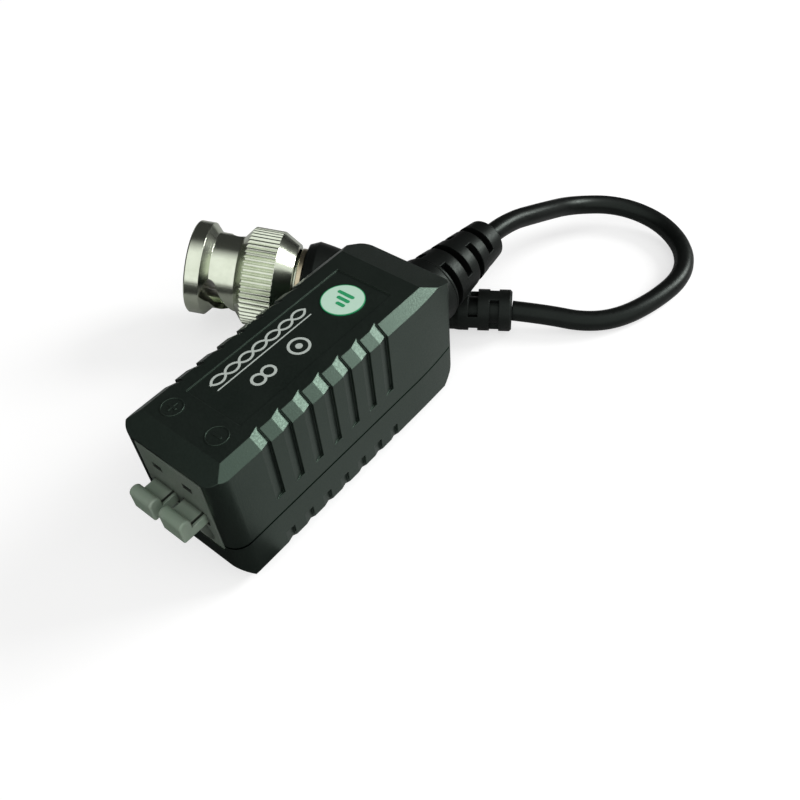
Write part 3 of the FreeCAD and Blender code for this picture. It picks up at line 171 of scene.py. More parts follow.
def roughen(tree, height, depth, normal=None):
    inputs = {"Height": height, "Distance": depth}
    if normal is not None:
        inputs["Normal"] = normal
    return addNode(tree, "ShaderNodeBump", inputs).outputs[0]


plasticFinish = {
    "cloudDetail": 4.0,
    "cloudRange": (0.35, 0.65),
    "grainDetail": 2.0,
    "grainRoughness": 0.7,
    "grainRange": (0.3, 0.7),
    "smoother": 0.05,  # how far the grain takes the roughness down, and up
    "rougher": 0.07,
    "wearRange": (0.3, 0.7),
    "leastWear": 0.25,
    # samples and range of the painted shade in cavities
    "cavitySamples": 8,
    "cavityRange": (0.45, 0.85),
    "gapRange": (0.35, 0.50),  # shares of the parting's width
    "refraction": 1.5,
    "throughWays": (0.6, 0.5, 0.4),
    "throughDepth": 0.0006,
}


def paintShadeInCavities(tree, colour, look):
    # painted shade: slots and corners are darkened in the colour, by how closed in an
    # occlusion test finds them
    openness = addNode(
        tree,
        "ShaderNodeAmbientOcclusion",
        {"Distance": look["cavity"]},
        samples=plasticFinish["cavitySamples"],
    ).outputs["AO"]
    paintedShadeMask = remap(tree, openness, *plasticFinish["cavityRange"], 1, 0)
    return blendColours(tree, paintedShadeMask, colour, look["shade"])


def paintPartingShadow(tree, point, look):
    # painted shadow: 1 in a thin band at the height where the shells meet, painted black
    # for the shade in the gap between them
    height = addNode(tree, "ShaderNodeSeparateXYZ", {"Vector": point}).outputs["Z"]
    above = arithmetic(tree, "SUBTRACT", height, look["parting"])
    away = arithmetic(tree, "ABSOLUTE", above)
    low, high = (share * look["partingWidth"] for share in plasticFinish["gapRange"])
    return remap(tree, away, low, high, 1, 0)


def mouldedPlastic(name, look):
    # colour clouds, a spark-eroded grain and slightly polished edges; where the look
    # asks, painted shade in slots and corners and a painted shadow line at the parting
    material, tree, shader = startMaterial(name, look["colour"])
    made = plasticFinish
    point = objectPoint(tree)
    normal, nearEdge = softEdges(tree, look["edgeRound"])
    clouds = speckle(tree, point, look["cloudSize"], made["cloudDetail"])
    grain = speckle(
        tree, point, look["grainSize"], made["grainDetail"], made["grainRoughness"]
    )
    cloudy = remap(tree, clouds, *made["cloudRange"], 0, 1)
    colour = blendColours(tree, cloudy, look["colour"], look["clouded"])
    patches = remap(tree, clouds, *made["wearRange"], made["leastWear"], 1)
    wear = arithmetic(tree, "MULTIPLY", nearEdge, patches)
    colour = blendColours(tree, wear, colour, look["worn"])
    # painted shade in slots and corners, where the look asks for it
    if "cavity" in look:
        colour = paintShadeInCavities(tree, colour, look)
    if "parting" in look:
        # painted shadow: a black line along the parting, which also takes no shine
        gap = paintPartingShadow(tree, point, look)
        colour = blendColours(tree, gap, colour, (0, 0, 0))
        feed(tree, shader.inputs["Metallic"], gap)  # black metal gives no shine
    smooth = look["roughness"] - made["smoother"]
    rough = look["roughness"] + made["rougher"]
    setInputs(
        tree,
        shader,
        {
            "Base Color": colour,
            "Roughness": remap(tree, grain, *made["grainRange"], smooth, rough),
            "Normal": roughen(tree, grain, look["grainDepth"], normal),
            "Specular IOR Level": look.get("shine", 0.5),
            "Specular Tint": (*look.get("shineTint", (1, 1, 1)), 1),
            "IOR": made["refraction"],
        },
    )
    if "through" in look:
        setInputs(
            tree,
            shader,
            {
                "Subsurface Weight": look["through"],
                "Subsurface Radius": made["throughWays"],
                "Subsurface Scale": made["throughDepth"],
            },
        )
    return material


metalFinish = {
    "ringDetail": 2.0,
    "ringRoughness": 0.6,
    "stainDetail": 5.0,
    "stainRoughness": 0.6,
    "stainRange": (0.35, 0.7),
    "dullRange": (0.3, 0.7),
    "dullness": (-0.04, 0.06),  # what the stains add to the roughness
}


def platedMetal(name, look, place=None, turn=None):
    # lathe rings about an axis, faint stains and brighter edges
    material, tree, shader = startMaterial(name, look["colour"])
    made = metalFinish
    point = objectPoint(tree)
    if place is not None:
        point = addNode(
            tree,
            "ShaderNodeMapping",
            {"Vector": point, "Location": place, "Rotation": turn},
            vector_type="TEXTURE",
        ).outputs[0]
    x, y, z = addNode(tree, "ShaderNodeSeparateXYZ", {"Vector": point}).outputs
    squares = [arithmetic(tree, "MULTIPLY", part, part) for part in (x, y)]
    across = arithmetic(tree, "SQRT", arithmetic(tree, "ADD", *squares))
    turned = addNode(tree, "ShaderNodeCombineXYZ", {"X": across, "Y": z}).outputs[0]
    rings = speckle(
        tree, turned, look["ringSize"], made["ringDetail"], made["ringRoughness"]
    )
    stains = speckle(
        tree, point, look["stainSize"], made["stainDetail"], made["stainRoughness"]
    )
    normal, nearEdge = softEdges(tree, look["edgeRound"])
    stained = remap(tree, stains, *made["stainRange"], 0, 1)
    colour = blendColours(tree, stained, look["colour"], look["stained"])
    dull = remap(tree, stains, *made["dullRange"], *made["dullness"])
    setInputs(
        tree,
        shader,
        {
            "Base Color": blendColours(tree, nearEdge, colour, look["bright"]),
            "Metallic": 1,
            "Roughness": arithmetic(tree, "ADD", dull, look["roughness"]),
            "Normal": roughen(tree, rings, look["ringDepth"], normal),
        },
    )
    return material


plug = {
    "mouth": (-0.0326, 0.00257, 0.0103),
    "tilt": 11.2,  # degrees that its front points up
    "heading": 32.07,  # degrees from the X axis to its tail
}
plugTurn = Euler((0, math.radians(90 + plug["tilt"]), math.radians(plug["heading"])))

housingLook = {
    "colour": (0.0040, 0.0050, 0.0045),
    "clouded": (0.0065, 0.0078, 0.0070),
    "worn": (0.020, 0.024, 0.021),
    "cloudSize": 0.006,
    "grainSize": 0.00022,
    "grainDepth": 0.000012,
    "roughness": 0.39,
    "edgeRound": 0.00012,
    "shine": 0.92,
    "shineTint": (0.68, 1.0, 0.79),
    # painted shadow: a black line along the parting, as wide as partingWidth
    "parting": 0.0079,  # the height at which the shells meet
    "partingWidth": 0.00036,
}
bootLook = {
    "colour": (0.0032, 0.0036, 0.0034),
    "clouded": (0.0050, 0.0056, 0.0052),
    "worn": (0.014, 0.016, 0.015),
    "cloudSize": 0.004,
    "grainSize": 0.00030,
    "grainDepth": 0.000010,
    "roughness": 0.41,
    "edgeRound": 0.00018,
    "shine": 0.22,
    "shineTint": (0.84, 1.0, 0.90),
}
blockLook = {
    "colour": (0.128, 0.162, 0.128),
    "clouded": (0.145, 0.170, 0.143),
    "worn": (0.190, 0.215, 0.186),
    "cloudSize": 0.003,
    "grainSize": 0.00025,
    "grainDepth": 0.000006,
    "roughness": 0.42,
    "edgeRound": 0.00012,
    "through": 0.10,
    # painted shade: the colour darkens towards the shade colour in slots and corners
    "cavity": 0.0018,
    "shade": (0.020, 0.025, 0.020),
}
leverLook = {
    "colour": (0.238, 0.315, 0.238),
    "clouded": (0.268, 0.330, 0.264),
    "worn": (0.325, 0.390, 0.320),
    "cloudSize": 0.0025,
    "grainSize": 0.00030,
    "grainDepth": 0.000005,
    "roughness": 0.36,
    "edgeRound": 0.00015,
    "through": 0.15,
    # painted shade in slots and corners, also kept by insulatorLook, which copies this
    # look
    "cavity": 0.0009,
    "shade": (0.080, 0.095, 0.075),
}
nickelLook = {
    "colour": (0.690, 0.742, 0.615),
    "stained": (0.590, 0.640, 0.515),
    "bright": (0.845, 0.890, 0.775),
    "ringSize": 0.00012,
    "ringDepth": 0.0000025,
    "stainSize": 0.0035,
    "roughness": 0.18,
    "edgeRound": 0.00010,
}
steelLook = {
    "colour": (0.52, 0.53, 0.53),
    "stained": (0.44, 0.45, 0.44),
    "bright": (0.72, 0.73, 0.72),
    "ringSize": 0.0002,
    "ringDepth": 0.000002,
    "stainSize": 0.003,
    "roughness": 0.28,
    "edgeRound": 0.00006,
}
brassLook = {
    "colour": (0.560, 0.500, 0.360),
    "stained": (0.450, 0.390, 0.260),
    "bright": (0.740, 0.690, 0.520),
    "ringSize": 0.00015,
    "ringDepth": 0.000002,
    "stainSize": 0.002,
    "roughness": 0.27,
    "edgeRound": 0.00008,
}
tinLook = dict(
    steelLook,
    colour=(0.62, 0.61, 0.58),
    stained=(0.50, 0.49, 0.45),
    roughness=0.34,
)
goldLook = dict(
    brassLook,
    colour=(0.86, 0.62, 0.26),
    stained=(0.75, 0.52, 0.20),
    roughness=0.20,
)
copperLook = {
    "colour": (0.48, 0.17, 0.06),
    "clouded": (0.56, 0.22, 0.08),
    "worn": (0.66, 0.32, 0.14),
    "cloudSize": 0.002,
    "grainSize": 0.0006,
    "grainDepth": 0.000004,
    "roughness": 0.25,
    "edgeRound": 0.00004,
}
ferriteLook = {
    "colour": (0.035, 0.036, 0.038),
    "clouded": (0.060, 0.061, 0.063),
    "worn": (0.110, 0.110, 0.112),
    "cloudSize": 0.0008,
    "grainSize": 0.00012,
    "grainDepth": 0.000012,
    "roughness": 0.62,
    "edgeRound": 0.00012,
}
discLook = dict(
    ferriteLook,
    colour=(0.42, 0.17, 0.05),
    clouded=(0.48, 0.21, 0.07),
    worn=(0.55, 0.28, 0.12),
    roughness=0.40,
)
suppressorLook = dict(
    ferriteLook,
    colour=(0.03, 0.09, 0.24),
    clouded=(0.04, 0.11, 0.29),
    worn=(0.09, 0.17, 0.36),
    roughness=0.34,
)
insulatorLook = dict(
    leverLook,
    colour=(0.78, 0.78, 0.74),
    clouded=(0.83, 0.83, 0.79),
    worn=(0.88, 0.88, 0.85),
    roughness=0.38,
)
sealLook = dict(
    bootLook,
    colour=(0.060, 0.054, 0.048),
    clouded=(0.075, 0.068, 0.060),
    worn=(0.11, 0.10, 0.09),
    roughness=0.55,
)
boardLook = {
    "resist": (0.020, 0.120, 0.045),
    "trackResist": (0.035, 0.175, 0.065),
    "edge": (0.36, 0.38, 0.20),
    "trackPitch": 0.0021,
    "trackGap": 0.14,  # shares of the pitch
    "trackLength": 3.1,
    "weave": 0.0004,
    "weaveDetail": 1.0,
    "weaveRange": (0.3, 0.7),
    "roughness": (0.26, 0.36),
    "depth": 0.00001,
    "edgeRound": 0.00006,
    "sideRange": (0.6, 0.4),  # how upright the normal is on the board's cut edge
}


def boardLaminate():
    # green solder resist over glass cloth, bare cloth at the cut edges
    look = boardLook
    material, tree, shader = startMaterial("boardLaminate", look["resist"])
    point = objectPoint(tree)
    normal = softEdges(tree, look["edgeRound"])[0]
    tracks = addNode(
        tree,
        "ShaderNodeTexBrick",
        {
            "Vector": point,
            "Scale": 1.0,
            "Mortar Size": look["trackPitch"] * look["trackGap"],
            "Brick Width": look["trackPitch"] * look["trackLength"],
            "Row Height": look["trackPitch"],
        },
    ).outputs["Fac"]
    cloth = speckle(tree, point, look["weave"], look["weaveDetail"])
    colour = blendColours(tree, tracks, look["trackResist"], look["resist"])
    trueNormal = addNode(tree, "ShaderNodeNewGeometry").outputs["Normal"]
    upward = addNode(tree, "ShaderNodeSeparateXYZ", {"Vector": trueNormal}).outputs["Z"]
    cutEdge = remap(tree, arithmetic(tree, "ABSOLUTE", upward), *look["sideRange"], 0, 1)
    height = arithmetic(tree, "ADD", remap(tree, tracks, 0, 1, 1, 0), cloth)
    setInputs(
        tree,
        shader,
        {
            "Base Color": blendColours(tree, cutEdge, colour, look["edge"]),
            "Roughness": remap(tree, cloth, *look["weaveRange"], *look["roughness"]),
            "Normal": roughen(tree, height, look["depth"], normal),
        },
    )
    return material


resistorLook = {
    "body": (0.62, 0.47, 0.28),
    "shading": 0.8,
    "cloudSize": 0.0008,
    "bands": (
        (0.30, 0.06, 0.02),
        (0.02, 0.02, 0.02),
        (0.55, 0.05, 0.02),
        (0.55, 0.38, 0.10),
    ),
    "bandWidth": 0.00035,
    "bandPitch": 0.17,  # share of the resistor's length
    "roughness": 0.3,
    "depth": 0.00001,
}


def resistorPaint():
    # beige lacquer with four plain colour bands along the body
    look = resistorLook
    low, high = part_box("resistor")
    span = high - low
    axis = max(range(3), key=lambda index: span[index])
    material, tree, shader = startMaterial("resistorPaint", look["body"])
    point = objectPoint(tree)
    along = addNode(tree, "ShaderNodeSeparateXYZ", {"Vector": point}).outputs[axis]
    cloud = speckle(tree, point, look["cloudSize"])
    shaded = [part * look["shading"] for part in look["body"]]
    colour = blendColours(tree, cloud, look["body"], shaded)
    middle = (low[axis] + high[axis]) / 2
    fromMiddle = (len(look["bands"]) - 1) / 2
    for number, band in enumerate(look["bands"]):
        place = middle + (number - fromMiddle) * span[axis] * look["bandPitch"]
        away = arithmetic(tree, "ABSOLUTE", arithmetic(tree, "SUBTRACT", along, place))
        inside = arithmetic(tree, "LESS_THAN", away, look["bandWidth"] / 2)
        colour = blendColours(tree, inside, colour, band)
    setInputs(
        tree,
        shader,
        {
            "Base Color": colour,
            "Roughness": look["roughness"],
            "Normal": roughen(tree, cloud, look["depth"]),
        },
    )
    return material


labelLook = {
    "paper": (0.58, 0.80, 0.66),
    "paperShade": (0.52, 0.75, 0.60),
    "rim": (0.020, 0.340, 0.130),
    "rimWidth": 0.00007,
    "border": 0.00004,
    "blur": 0.00005,
    "fibreSize": 0.0005,
    "fibreDetail": 5.0,
    "fibreDepth": 0.000004,
    "roughness": 0.38,
}


def labelPaper():
    # pale coated paper with a green printed rim
    look = labelLook
    low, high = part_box("round_label")
    middle = (low + high) / 2
    material, tree, shader = startMaterial("labelPaper", look["paper"])
    point = objectPoint(tree)
    fromMiddle = addNode(
        tree,
        "ShaderNodeMapping",
        {"Vector": point, "Location": (-middle.x, -middle.y, 0), "Scale": (1, 1, 0)},
    ).outputs[0]
    away = addNode(
        tree, "ShaderNodeVectorMath", {0: fromMiddle}, operation="LENGTH"
    ).outputs["Value"]
    fibres = speckle(tree, point, look["fibreSize"], look["fibreDetail"])
    colour = blendColours(tree, fibres, look["paper"], look["paperShade"])
    inner = (high.x - low.x) / 2 - look["rimWidth"] - look["border"]
    ring = remap(tree, away, inner - look["blur"], inner + look["blur"], 0, 1)
    setInputs(
        tree,
        shader,
        {
            "Base Color": blendColours(tree, ring, colour, look["rim"]),
            "Roughness": look["roughness"],
            "Normal": roughen(tree, fibres, look["fibreDepth"]),
        },
    )
    return material


braidLook = {
    "strand": 0.00022,
    "bright": (0.66, 0.62, 0.56),
    # painted shade between the strands
    "shade": (0.20, 0.17, 0.14),
    "lean": 0.4,
    "turn": 38,  # degrees that each set of strands is turned by
    "waveScale": 0.16,
    "wobble": 0.3,
    "metallic": 0.9,
    "roughness": (0.5, 0.3),
    "depth": 0.00005,
}


def wireBraid():
    # tinned strands that cross each other round the lead, with painted shade between the
    # strands
    look = braidLook
    material, tree, shader = startMaterial("wireBraid", look["bright"])
    point = objectPoint(tree)
    waves = []
    for way in (1, -1):
        turn = (look["lean"] * way, 0, math.radians(look["turn"]) * way)
        turned = addNode(
            tree, "ShaderNodeMapping", {"Vector": point, "Rotation": turn}
        ).outputs[0]
        wave = addNode(
            tree,
            "ShaderNodeTexWave",
            {
                "Vector": turned,
                "Scale": look["waveScale"] / look["strand"],
                "Distortion": look["wobble"],
            },
            bands_direction="Y",
        )
        waves.append(wave.outputs["Fac"])
    crossed = arithmetic(tree, "MAXIMUM", *waves)
    setInputs(
        tree,
        shader,
        {
            "Base Color": blendColours(tree, crossed, look["shade"], look["bright"]),
            "Metallic": look["metallic"],
            "Roughness": remap(tree, crossed, 0, 1, *look["roughness"]),
            "Normal": roughen(tree, crossed, look["depth"]),
        },
    )
    return material


whiteInkLook = {
    "ink": (0.52, 0.57, 0.53),
    "thin": (0.40, 0.45, 0.41),
    "grain": 0.00012,
    "thinRange": (0.4, 0.7),
    "roughness": 0.6,
    "depth": 0.000004,
}
greenInkLook = dict(
    whiteInkLook,
    ink=(0.015, 0.30, 0.11),
    thin=(0.03, 0.36, 0.15),
    grain=0.00015,
)


def printInk(name, look):
    # ink that thins out in specks
    material, tree, shader = startMaterial(name, look["ink"])
    grain = speckle(tree, objectPoint(tree), look["grain"])
    thinness = remap(tree, grain, *look["thinRange"], 0, 1)
    setInputs(
        tree,
        shader,
        {
            "Base Color": blendColours(tree, thinness, look["ink"], look["thin"]),
            "Roughness": look["roughness"],
            "Normal": roughen(tree, grain, look["depth"]),
        },
    )
    return material


housingPlastic = mouldedPlastic("housingPlastic", housingLook)
bootRubber = mouldedPlastic("bootRubber", bootLook)
blockPlastic = mouldedPlastic("blockPlastic", blockLook)
leverPlastic = mouldedPlastic("leverPlastic", leverLook)
nickelPlate = platedMetal("nickelPlate", nickelLook, plug["mouth"], plugTurn)
collarBrass = platedMetal("collarBrass", brassLook, plug["mouth"], plugTurn)
goldPlate = platedMetal("goldPlate", goldLook, plug["mouth"], plugTurn)
sleeveSilver = platedMetal("sleeveSilver", tinLook, plug["mouth"], plugTurn)
springSteel = platedMetal("springSteel", steelLook)
tinPlate = platedMetal("tinPlate", tinLook)
enamelWire = mouldedPlastic("enamelWire", copperLook)
ferrite = mouldedPlastic("ferrite", ferriteLook)
discLacquer = mouldedPlastic("discLacquer", discLook)
suppressorLacquer = mouldedPlastic("suppressorLacquer", suppressorLook)
insulatorWhite = mouldedPlastic("insulatorWhite", insulatorLook)
sealRubber = mouldedPlastic("sealRubber", sealLook)
laminate = boardLaminate()
resistorCoat = resistorPaint()
paper = labelPaper()
braid = wireBraid()
whiteInk = printInk("printInk", whiteInkLook)
greenInk = printInk("greenInk", greenInkLook)

finishes = {
    "upper_shell": housingPlastic,
    "lower_shell": housingPlastic,
    "round_label": paper,
    "terminal_block": blockPlastic,
    "lever_pin": springSteel,
    "lever_left": leverPlastic,
    "lever_right": leverPlastic,
    "contact_left": tinPlate,
    "contact_right": tinPlate,
    "clamp_spring_left": springSteel,
    "clamp_spring_right": springSteel,
    "circuit_board": laminate,
    "ferrite_core": ferrite,
    "primary_winding": enamelWire,
    "secondary_winding": enamelWire,
    "disc_capacitor": discLacquer,
    "surge_suppressor": suppressorLacquer,
    "resistor": resistorCoat,
    "cord_strain_relief": bootRubber,
    "coax_centre_lead": insulatorWhite,
    "coax_braid_tail": braid,
    "coupling_nut": nickelPlate,
    "plug_body": nickelPlate,
    "contact_sleeve": sleeveSilver,
    "plug_insulator": insulatorWhite,
    "centre_pin": goldPlate,
    "gasket": sealRubber,
    "spring_washer": sleeveSilver,
    "thrust_washer": sleeveSilver,
    "retaining_ring": sleeveSilver,
    "rear_collar": collarBrass,
    "crimp_ferrule": sleeveSilver,
    "plug_boot": bootRubber,
    "cord": bootRubber,
}


def finishNodes():
    for name, node in cadNodes.items():
        if node.material_slots:
            for holder in node.material_slots:
                holder.material = finishes[name]
        else:
            node.data.materials.append(finishes[name])


finishNodes()
print("materials on", len(finishes), "nodes")

cord = {
    "diameter": 0.0030,
    "length": 0.0818,
    "route": (
        (0.0000, 0.03165, 0.0108),
        (0.0000, 0.0364, 0.0108),
        (0.0015, 0.0448, 0.0083),
        (0.0020, 0.0532, 0.0049),
        (0.0074, 0.0595, 0.0034),
        (0.0147, 0.0606, 0.0023),
        (0.0210, 0.0570, 0.0016),
        (0.0239, 0.0506, 0.0016),
        (0.0228, 0.0427, 0.0016),
        (0.0204, 0.0366, 0.0016),
        (0.0168, 0.0328, 0.0019),
        (0.0118, 0.0302, 0.0028),
        (0.007486, 0.027687, 0.003211),
    ),
    "steps": 16,  # between two points of the route
    "roundness": 7,
    "plugPieces": (
        "plug_boot",
        "crimp_ferrule",
        "rear_collar",
        "retaining_ring",
        "thrust_washer",
        "spring_washer",
        "gasket",
        "centre_pin",
        "plug_insulator",
        "contact_sleeve",
        "plug_body",
        "coupling_nut",
    ),
}
cordJacketLook = dict(
    bootLook,
    clouded=(0.0054, 0.0061, 0.0057),
    cloudSize=0.005,
    grainSize=0.0005,
    grainDepth=0.000006,
    roughness=0.35,
)


def layCord():
    curve = bpy.data.curves.new("cordLead", "CURVE")
    curve.dimensions = "3D"
    spline = curve.splines.new("NURBS")
    spline.points.add(len(cord["route"]) - 1)
    for point, place in zip(spline.points, cord["route"]):
        point.co = (*place, 1)
    spline.order_u = 3
    spline.use_endpoint_u = True
    spline.resolution_u = cord["steps"]
    curve.bevel_depth = cord["diameter"] / 2
    curve.bevel_resolution = cord["roundness"]
    curve.use_fill_caps = True
    lead = bpy.data.objects.new("cordLead", curve)
    bpy.context.scene.collection.objects.link(lead)
    curve.materials.append(mouldedPlastic("cordJacket", cordJacketLook))
    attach(lead, "housing")
    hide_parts("cord")


layCord()
print("cord laid")


def editMode(parts="FACE"):
    bpy.ops.object.mode_set(mode="EDIT")
    bpy.ops.mesh.select_mode(type=parts)
    bpy.ops.mesh.select_all(action="DESELECT")


def objectMode():
    bpy.ops.object.mode_set(mode="OBJECT")


def pick(kind, wanted):
    # selects the faces or the verts that are wanted
    mesh = bpy.context.object.data
    shape = bmesh.from_edit_mesh(mesh)
    for part in getattr(shape, kind):
        part.select_set(bool(wanted(part)))
    shape.select_flush_mode()
    bmesh.update_edit_mesh(mesh)


def applyModifier(piece, kind, **settings):
    modifier = piece.modifiers.new(kind.lower(), kind)
    for name, value in settings.items():
        setattr(modifier, name, value)
    bpy.ops.object.modifier_apply(modifier=modifier.name)


def joinPieces(pieces, name):
    deselectAll()
    for piece in pieces:
        piece.select_set(True)
    bpy.context.view_layer.objects.active = pieces[0]
    if len(pieces) > 1:
        bpy.ops.object.join()
    bpy.ops.object.transform_apply(location=True, rotation=True, scale=True)
    whole = bpy.context.object
    whole.name = whole.data.name = name
    return whole


def finishMark(pieces, name, material):
    mark = joinPieces(pieces, name)
    mark.data.materials.clear()
    mark.data.materials.append(material)
    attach(mark, "housing")
    deselectAll()
    return mark


# What is printed and moulded on the roof. The print is generic signs, and the
# part's own lettering and marks stay off it.
roof = {
    "top": 0.02100,
    "panel": 0.02085,
    "label": 0.02097,
}
printing = {
    "thickness": 0.00002,
    "step": 0.000005,  # how much higher the print lies where it crosses itself
    "stroke": 0.00034,
    "weld": 0.000001,  # points nearer than this are one
    "ringPoints": 64,
    "dotPoints": 32,
    "endPoints": 24,
}


def flatRing(place, height, radius, stroke):
    bpy.ops.mesh.primitive_circle_add(
        vertices=printing["ringPoints"],
        radius=radius,
        fill_type="NGON",
        location=(*place, height),
    )
    editMode()
    bpy.ops.mesh.select_all(action="SELECT")
    bpy.ops.mesh.inset(thickness=stroke)
    bpy.ops.mesh.delete(type="FACE")
    objectMode()
    return bpy.context.object


def flatDot(place, height, radius):
    bpy.ops.mesh.primitive_circle_add(
        vertices=printing["dotPoints"],
        radius=radius,
        fill_type="NGON",
        location=(*place, height),
    )
    editMode()
    bpy.ops.mesh.select_all(action="SELECT")
    bpy.ops.mesh.inset(thickness=radius / 2)
    objectMode()
    return bpy.context.object


def flatBar(start, height, width, reach):
    # a strip with round ends: half a disc is drawn out along the reach
    bpy.ops.mesh.primitive_circle_add(
        vertices=printing["endPoints"],
        radius=width / 2,
        fill_type="NGON",
        location=(*start, height),
    )
    way = Vector(reach).normalized()
    editMode("VERT")
    pick("verts", lambda point: point.co.xy.dot(way) > printing["weld"])
    bpy.ops.transform.translate(value=(*reach, 0))
    objectMode()
    return bpy.context.object


def inkUp(piece):
    # gives flat print its thickness, upwards
    deselectAll()
    piece.select_set(True)
    bpy.context.view_layer.objects.active = piece
    editMode()
    bpy.ops.mesh.select_all(action="SELECT")
    bpy.ops.mesh.remove_doubles(threshold=printing["weld"])
    bpy.ops.mesh.normals_make_consistent(inside=False)
    objectMode()
    upward = sum(face.normal.z for face in piece.data.polygons) > 0
    applyModifier(
        piece,
        "SOLIDIFY",
        thickness=printing["thickness"],
        offset=1.0 if upward else -1.0,
    )


rule = {
    "start": (-0.00155, -0.0184),
    "length": 0.0153,
    "width": 0.00017,
}


def printRule():
    bar = flatBar(rule["start"], roof["panel"], rule["width"], (0, rule["length"]))
    inkUp(finishMark([bar], "printedRule", whiteInk))


twist = {
    "middle": (-0.0028, -0.0106),
    "halfWidth": 0.00062,
    "turn": 0.00220,
    "count": 7,
    "stroke": 0.00030,
    "overlap": 0.35,  # share of the stroke by which an arc crosses the middle
}


def printTwist():
    # a twisted pair seen from the side: arcs that cross once every half turn
    half, reach, stroke = twist["turn"] / 2, twist["halfWidth"], twist["stroke"]
    radius = (half * half + reach * reach) / (2 * reach)
    x, y = twist["middle"]
    arcs = []
    for number in range(twist["count"]):
        along = y + (number - (twist["count"] - 1) / 2) * twist["turn"]
        for side in (1, -1):
            steps = (side + 1) / 2 + number % 2 * 2
            level = roof["panel"] + steps * printing["step"]
            centre = (x - side * (radius - reach), along)
            arc = flatRing(centre, level, radius + stroke / 2, stroke)
            editMode()
            bpy.ops.mesh.select_all(action="SELECT")
            bpy.ops.mesh.bisect(
                plane_co=(x - side * stroke * twist["overlap"], along, level),
                plane_no=(side, 0, 0),
                clear_inner=True,
            )
            objectMode()
            arcs.append(arc)
    inkUp(finishMark(arcs, "printedTwistedPair", whiteInk))


pairSign = {
    "middle": (0.0010, -0.0137),
    "radius": 0.00098,
    "shift": 0.00081,
}


def printPair():
    # two touching rings
    x, y = pairSign["middle"]
    rings = []
    for side in (1, -1):
        level = roof["panel"] + (side + 1) / 2 * printing["step"]
        centre = (x, y + side * pairSign["shift"])
        rings.append(flatRing(centre, level, pairSign["radius"], printing["stroke"]))
    inkUp(finishMark(rings, "printedPairSign", whiteInk))


coaxSign = {
    "middle": (0.00106, -0.00792),
    "radius": 0.00145,
    "dotRadius": 0.00045,
}


def printCoax():
    # a ring round a dot
    place, level = coaxSign["middle"], roof["panel"]
    ring = flatRing(place, level, coaxSign["radius"], printing["stroke"])
    dot = flatDot(place, level, coaxSign["dotRadius"])
    inkUp(finishMark([ring, dot], "printedCoaxSign", whiteInk))


labelBars = {
    "middle": (-0.00027, 0.0011),
    "width": 0.00052,
    "gap": 0.00088,
    "heights": (0.0009, 0.0015, 0.0021),
}


def printBars():
    # rising bars on the round label, read from the right side like the print
    x, y = labelBars["middle"]
    foot = x + labelBars["heights"][-1] / 2
    bars = []
    for number, height in enumerate(labelBars["heights"]):
        start = (foot, y + (number - 1) * labelBars["gap"])
        bars.append(flatBar(start, roof["label"], labelBars["width"], (-height, 0)))
    inkUp(finishMark(bars, "labelBars", greenInk))


polarity = {
    "plusPlace": (-0.0038, -0.0232),
    "minusPlace": (0.0034, -0.0231),
    "radius": 0.00140,
    "rim": 0.00016,
    "height": 0.00010,
    "sunk": 0.00001,
    "stroke": 0.00026,
    "reach": 0.00055,
    "outer": 0.4,  # shares of the stroke that tell an arm's end from the sides
    "inner": 0.2,
    "edge": 0.00003,
    "edgeSteps": 2,
    "points": 64,
}
facing = 0.9  # cosine above which a face looks a certain way


def mouldSign(name, place, ways):
    # a raised ring round a cross or a bar, as the mould leaves them on the roof
    tall, stroke = polarity["height"], polarity["stroke"]
    middle = (*place, roof["top"] + tall / 2 - polarity["sunk"])
    bpy.ops.mesh.primitive_cylinder_add(
        vertices=polarity["points"],
        radius=polarity["radius"],
        depth=tall,
        location=middle,
    )
    rim = bpy.context.object
    editMode()
    pick("faces", lambda face: abs(face.normal.z) > facing)
    bpy.ops.mesh.inset(thickness=polarity["rim"], use_individual=True)
    bpy.ops.mesh.bridge_edge_loops()
    objectMode()
    bpy.ops.mesh.primitive_cube_add(size=1, location=middle)
    sign = bpy.context.object
    sign.scale = (stroke, stroke, tall)
    bpy.ops.object.transform_apply(location=False, rotation=False, scale=True)
    editMode()
    for way in ways:
        along, across = Vector(way), Vector((-way[1], way[0], 0))
        pick(
            "faces",
            lambda face: face.normal.dot(along) > facing
            and face.calc_center_median().dot(along) > stroke * polarity["outer"]
            and abs(face.calc_center_median().dot(across)) < stroke * polarity["inner"],
        )
        bpy.ops.mesh.extrude_region_move(
            TRANSFORM_OT_translate={"value": along * polarity["reach"]}
        )
    objectMode()
    mark = finishMark([rim, sign], name, housingPlastic)
    bpy.context.view_layer.objects.active = mark
    mark.select_set(True)
    applyModifier(
        mark,
        "BEVEL",
        width=polarity["edge"],
        segments=polarity["edgeSteps"],
        limit_method="ANGLE",
    )
    deselectAll()


printRule()
printTwist()
printPair()
printCoax()
printBars()
mouldSign(
    "polarityPlus", polarity["plusPlace"], ((1, 0, 0), (-1, 0, 0), (0, 1, 0), (0, -1, 0))
)
mouldSign("polarityMinus", polarity["minusPlace"], ((1, 0, 0), (-1, 0, 0)))
print("marks printed and moulded")

table = {
    "size": 3.0,
    "colour": (0.45, 0.45, 0.45),
    "clouded": (0.49, 0.49, 0.485),
    "cloudSize": 0.2,
    "cloudDetail": 2.0,
    "white": 0.64,  # what the camera alone sees added to the paper
    "roughness": 0.8,
    "shine": 0.1,
}


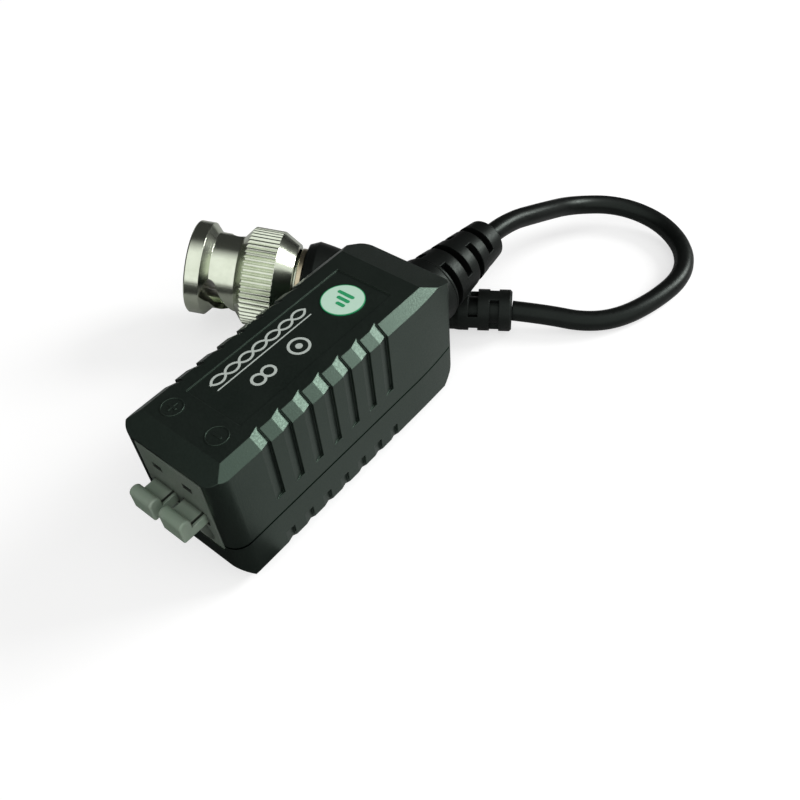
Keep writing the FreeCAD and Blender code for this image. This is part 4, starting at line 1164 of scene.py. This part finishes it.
def setTable():
    bpy.ops.mesh.primitive_plane_add(size=table["size"])
    top = bpy.context.object
    top.name = "table"
    material, tree, shader = startMaterial("tablePaper", table["colour"])
    cloud = speckle(tree, objectPoint(tree), table["cloudSize"], table["cloudDetail"])
    seen = addNode(tree, "ShaderNodeLightPath").outputs["Is Camera Ray"]
    setInputs(
        tree,
        shader,
        {
            "Base Color": blendColours(tree, cloud, table["colour"], table["clouded"]),
            "Roughness": table["roughness"],
            "Specular IOR Level": table["shine"],
            "Emission Color": (1, 1, 1, 1),
            "Emission Strength": arithmetic(tree, "MULTIPLY", seen, table["white"]),
        },
    )
    top.data.materials.append(material)
    deselectAll()


sky = {
    "brightWay": (0.68, -0.45, 0.58),  # a window to the right of the terminals
    "bright": 1.15,
    "dark": 0.045,
    "windowEdge": (0.30, 0.72),  # cosines from where the light starts to where it is full
    "horizon": (-0.02, 0.12),
}


def setSky():
    # white where the camera sees it; as light, bright to the right and dark elsewhere
    world = bpy.data.worlds.new("studioSky")
    bpy.context.scene.world = world
    world.use_nodes = True
    tree = world.node_tree
    tree.nodes.clear()
    way = addNode(tree, "ShaderNodeTexCoord").outputs["Generated"]
    height = addNode(tree, "ShaderNodeSeparateXYZ", {"Vector": way}).outputs["Z"]
    facingWindow = addNode(
        tree,
        "ShaderNodeVectorMath",
        {0: way, 1: Vector(sky["brightWay"]).normalized()},
        operation="DOT_PRODUCT",
    ).outputs["Value"]
    window = remap(tree, facingWindow, *sky["windowEdge"], sky["dark"], sky["bright"])
    aboveTable = remap(tree, height, *sky["horizon"], 0, 1)
    light = arithmetic(tree, "MULTIPLY", window, aboveTable)
    seen = addNode(tree, "ShaderNodeLightPath").outputs["Is Camera Ray"]
    strength = addNode(
        tree, "ShaderNodeMix", {0: seen, 2: light, 3: 1.0}, data_type="FLOAT"
    ).outputs[0]
    background = addNode(
        tree, "ShaderNodeBackground", {"Color": (1, 1, 1, 1), "Strength": strength}
    ).outputs[0]
    addNode(tree, "ShaderNodeOutputWorld", {"Surface": background})


keyLamp = {
    "way": (0.44, 0.75, 0.49),
    "reach": 0.62,
    "size": 0.24,
    "power": 2.7,
}


def setKeyLamp():
    place = Vector(keyLamp["way"]).normalized() * keyLamp["reach"]
    bpy.ops.object.light_add(
        type="AREA", location=place, rotation=place.to_track_quat("Z", "Y").to_euler()
    )
    lamp = bpy.context.object
    lamp.name = "keyLamp"
    lamp.data.shape = "SQUARE"
    lamp.data.size = keyLamp["size"]
    lamp.data.energy = keyLamp["power"]
    deselectAll()


cards = {
    "colour": (0.02, 0.02, 0.02),
    "roughness": 0.9,
    "height": 0.0003,
    "corners": (
        ((-0.300, -0.400), (0.030, -0.022)),
        ((-0.600, 0.085), (0.060, 0.700)),
    ),
}


def setCards():
    # painted shade: dark cards on the table in front and behind, that only reflections
    # show; they darken what the shine picks up of the table
    material, tree, shader = startMaterial("darkCard", cards["colour"])
    setInputs(
        tree,
        shader,
        {"Base Color": (*cards["colour"], 1), "Roughness": cards["roughness"]},
    )
    for number, (low, high) in enumerate(cards["corners"]):
        middle = (Vector(low) + Vector(high)) / 2
        bpy.ops.mesh.primitive_plane_add(size=1, location=(*middle, cards["height"]))
        card = bpy.context.object
        card.name = "darkCard" + str(number + 1)
        card.scale = (high[0] - low[0], high[1] - low[1], 1)
        card.data.materials.append(material)
        card.visible_camera = False
        card.visible_diffuse = False
        card.visible_shadow = False
    deselectAll()


setTable()
setSky()
setKeyLamp()
setCards()
bpy.context.scene.view_settings.view_transform = "Standard"
print("table and lights set")
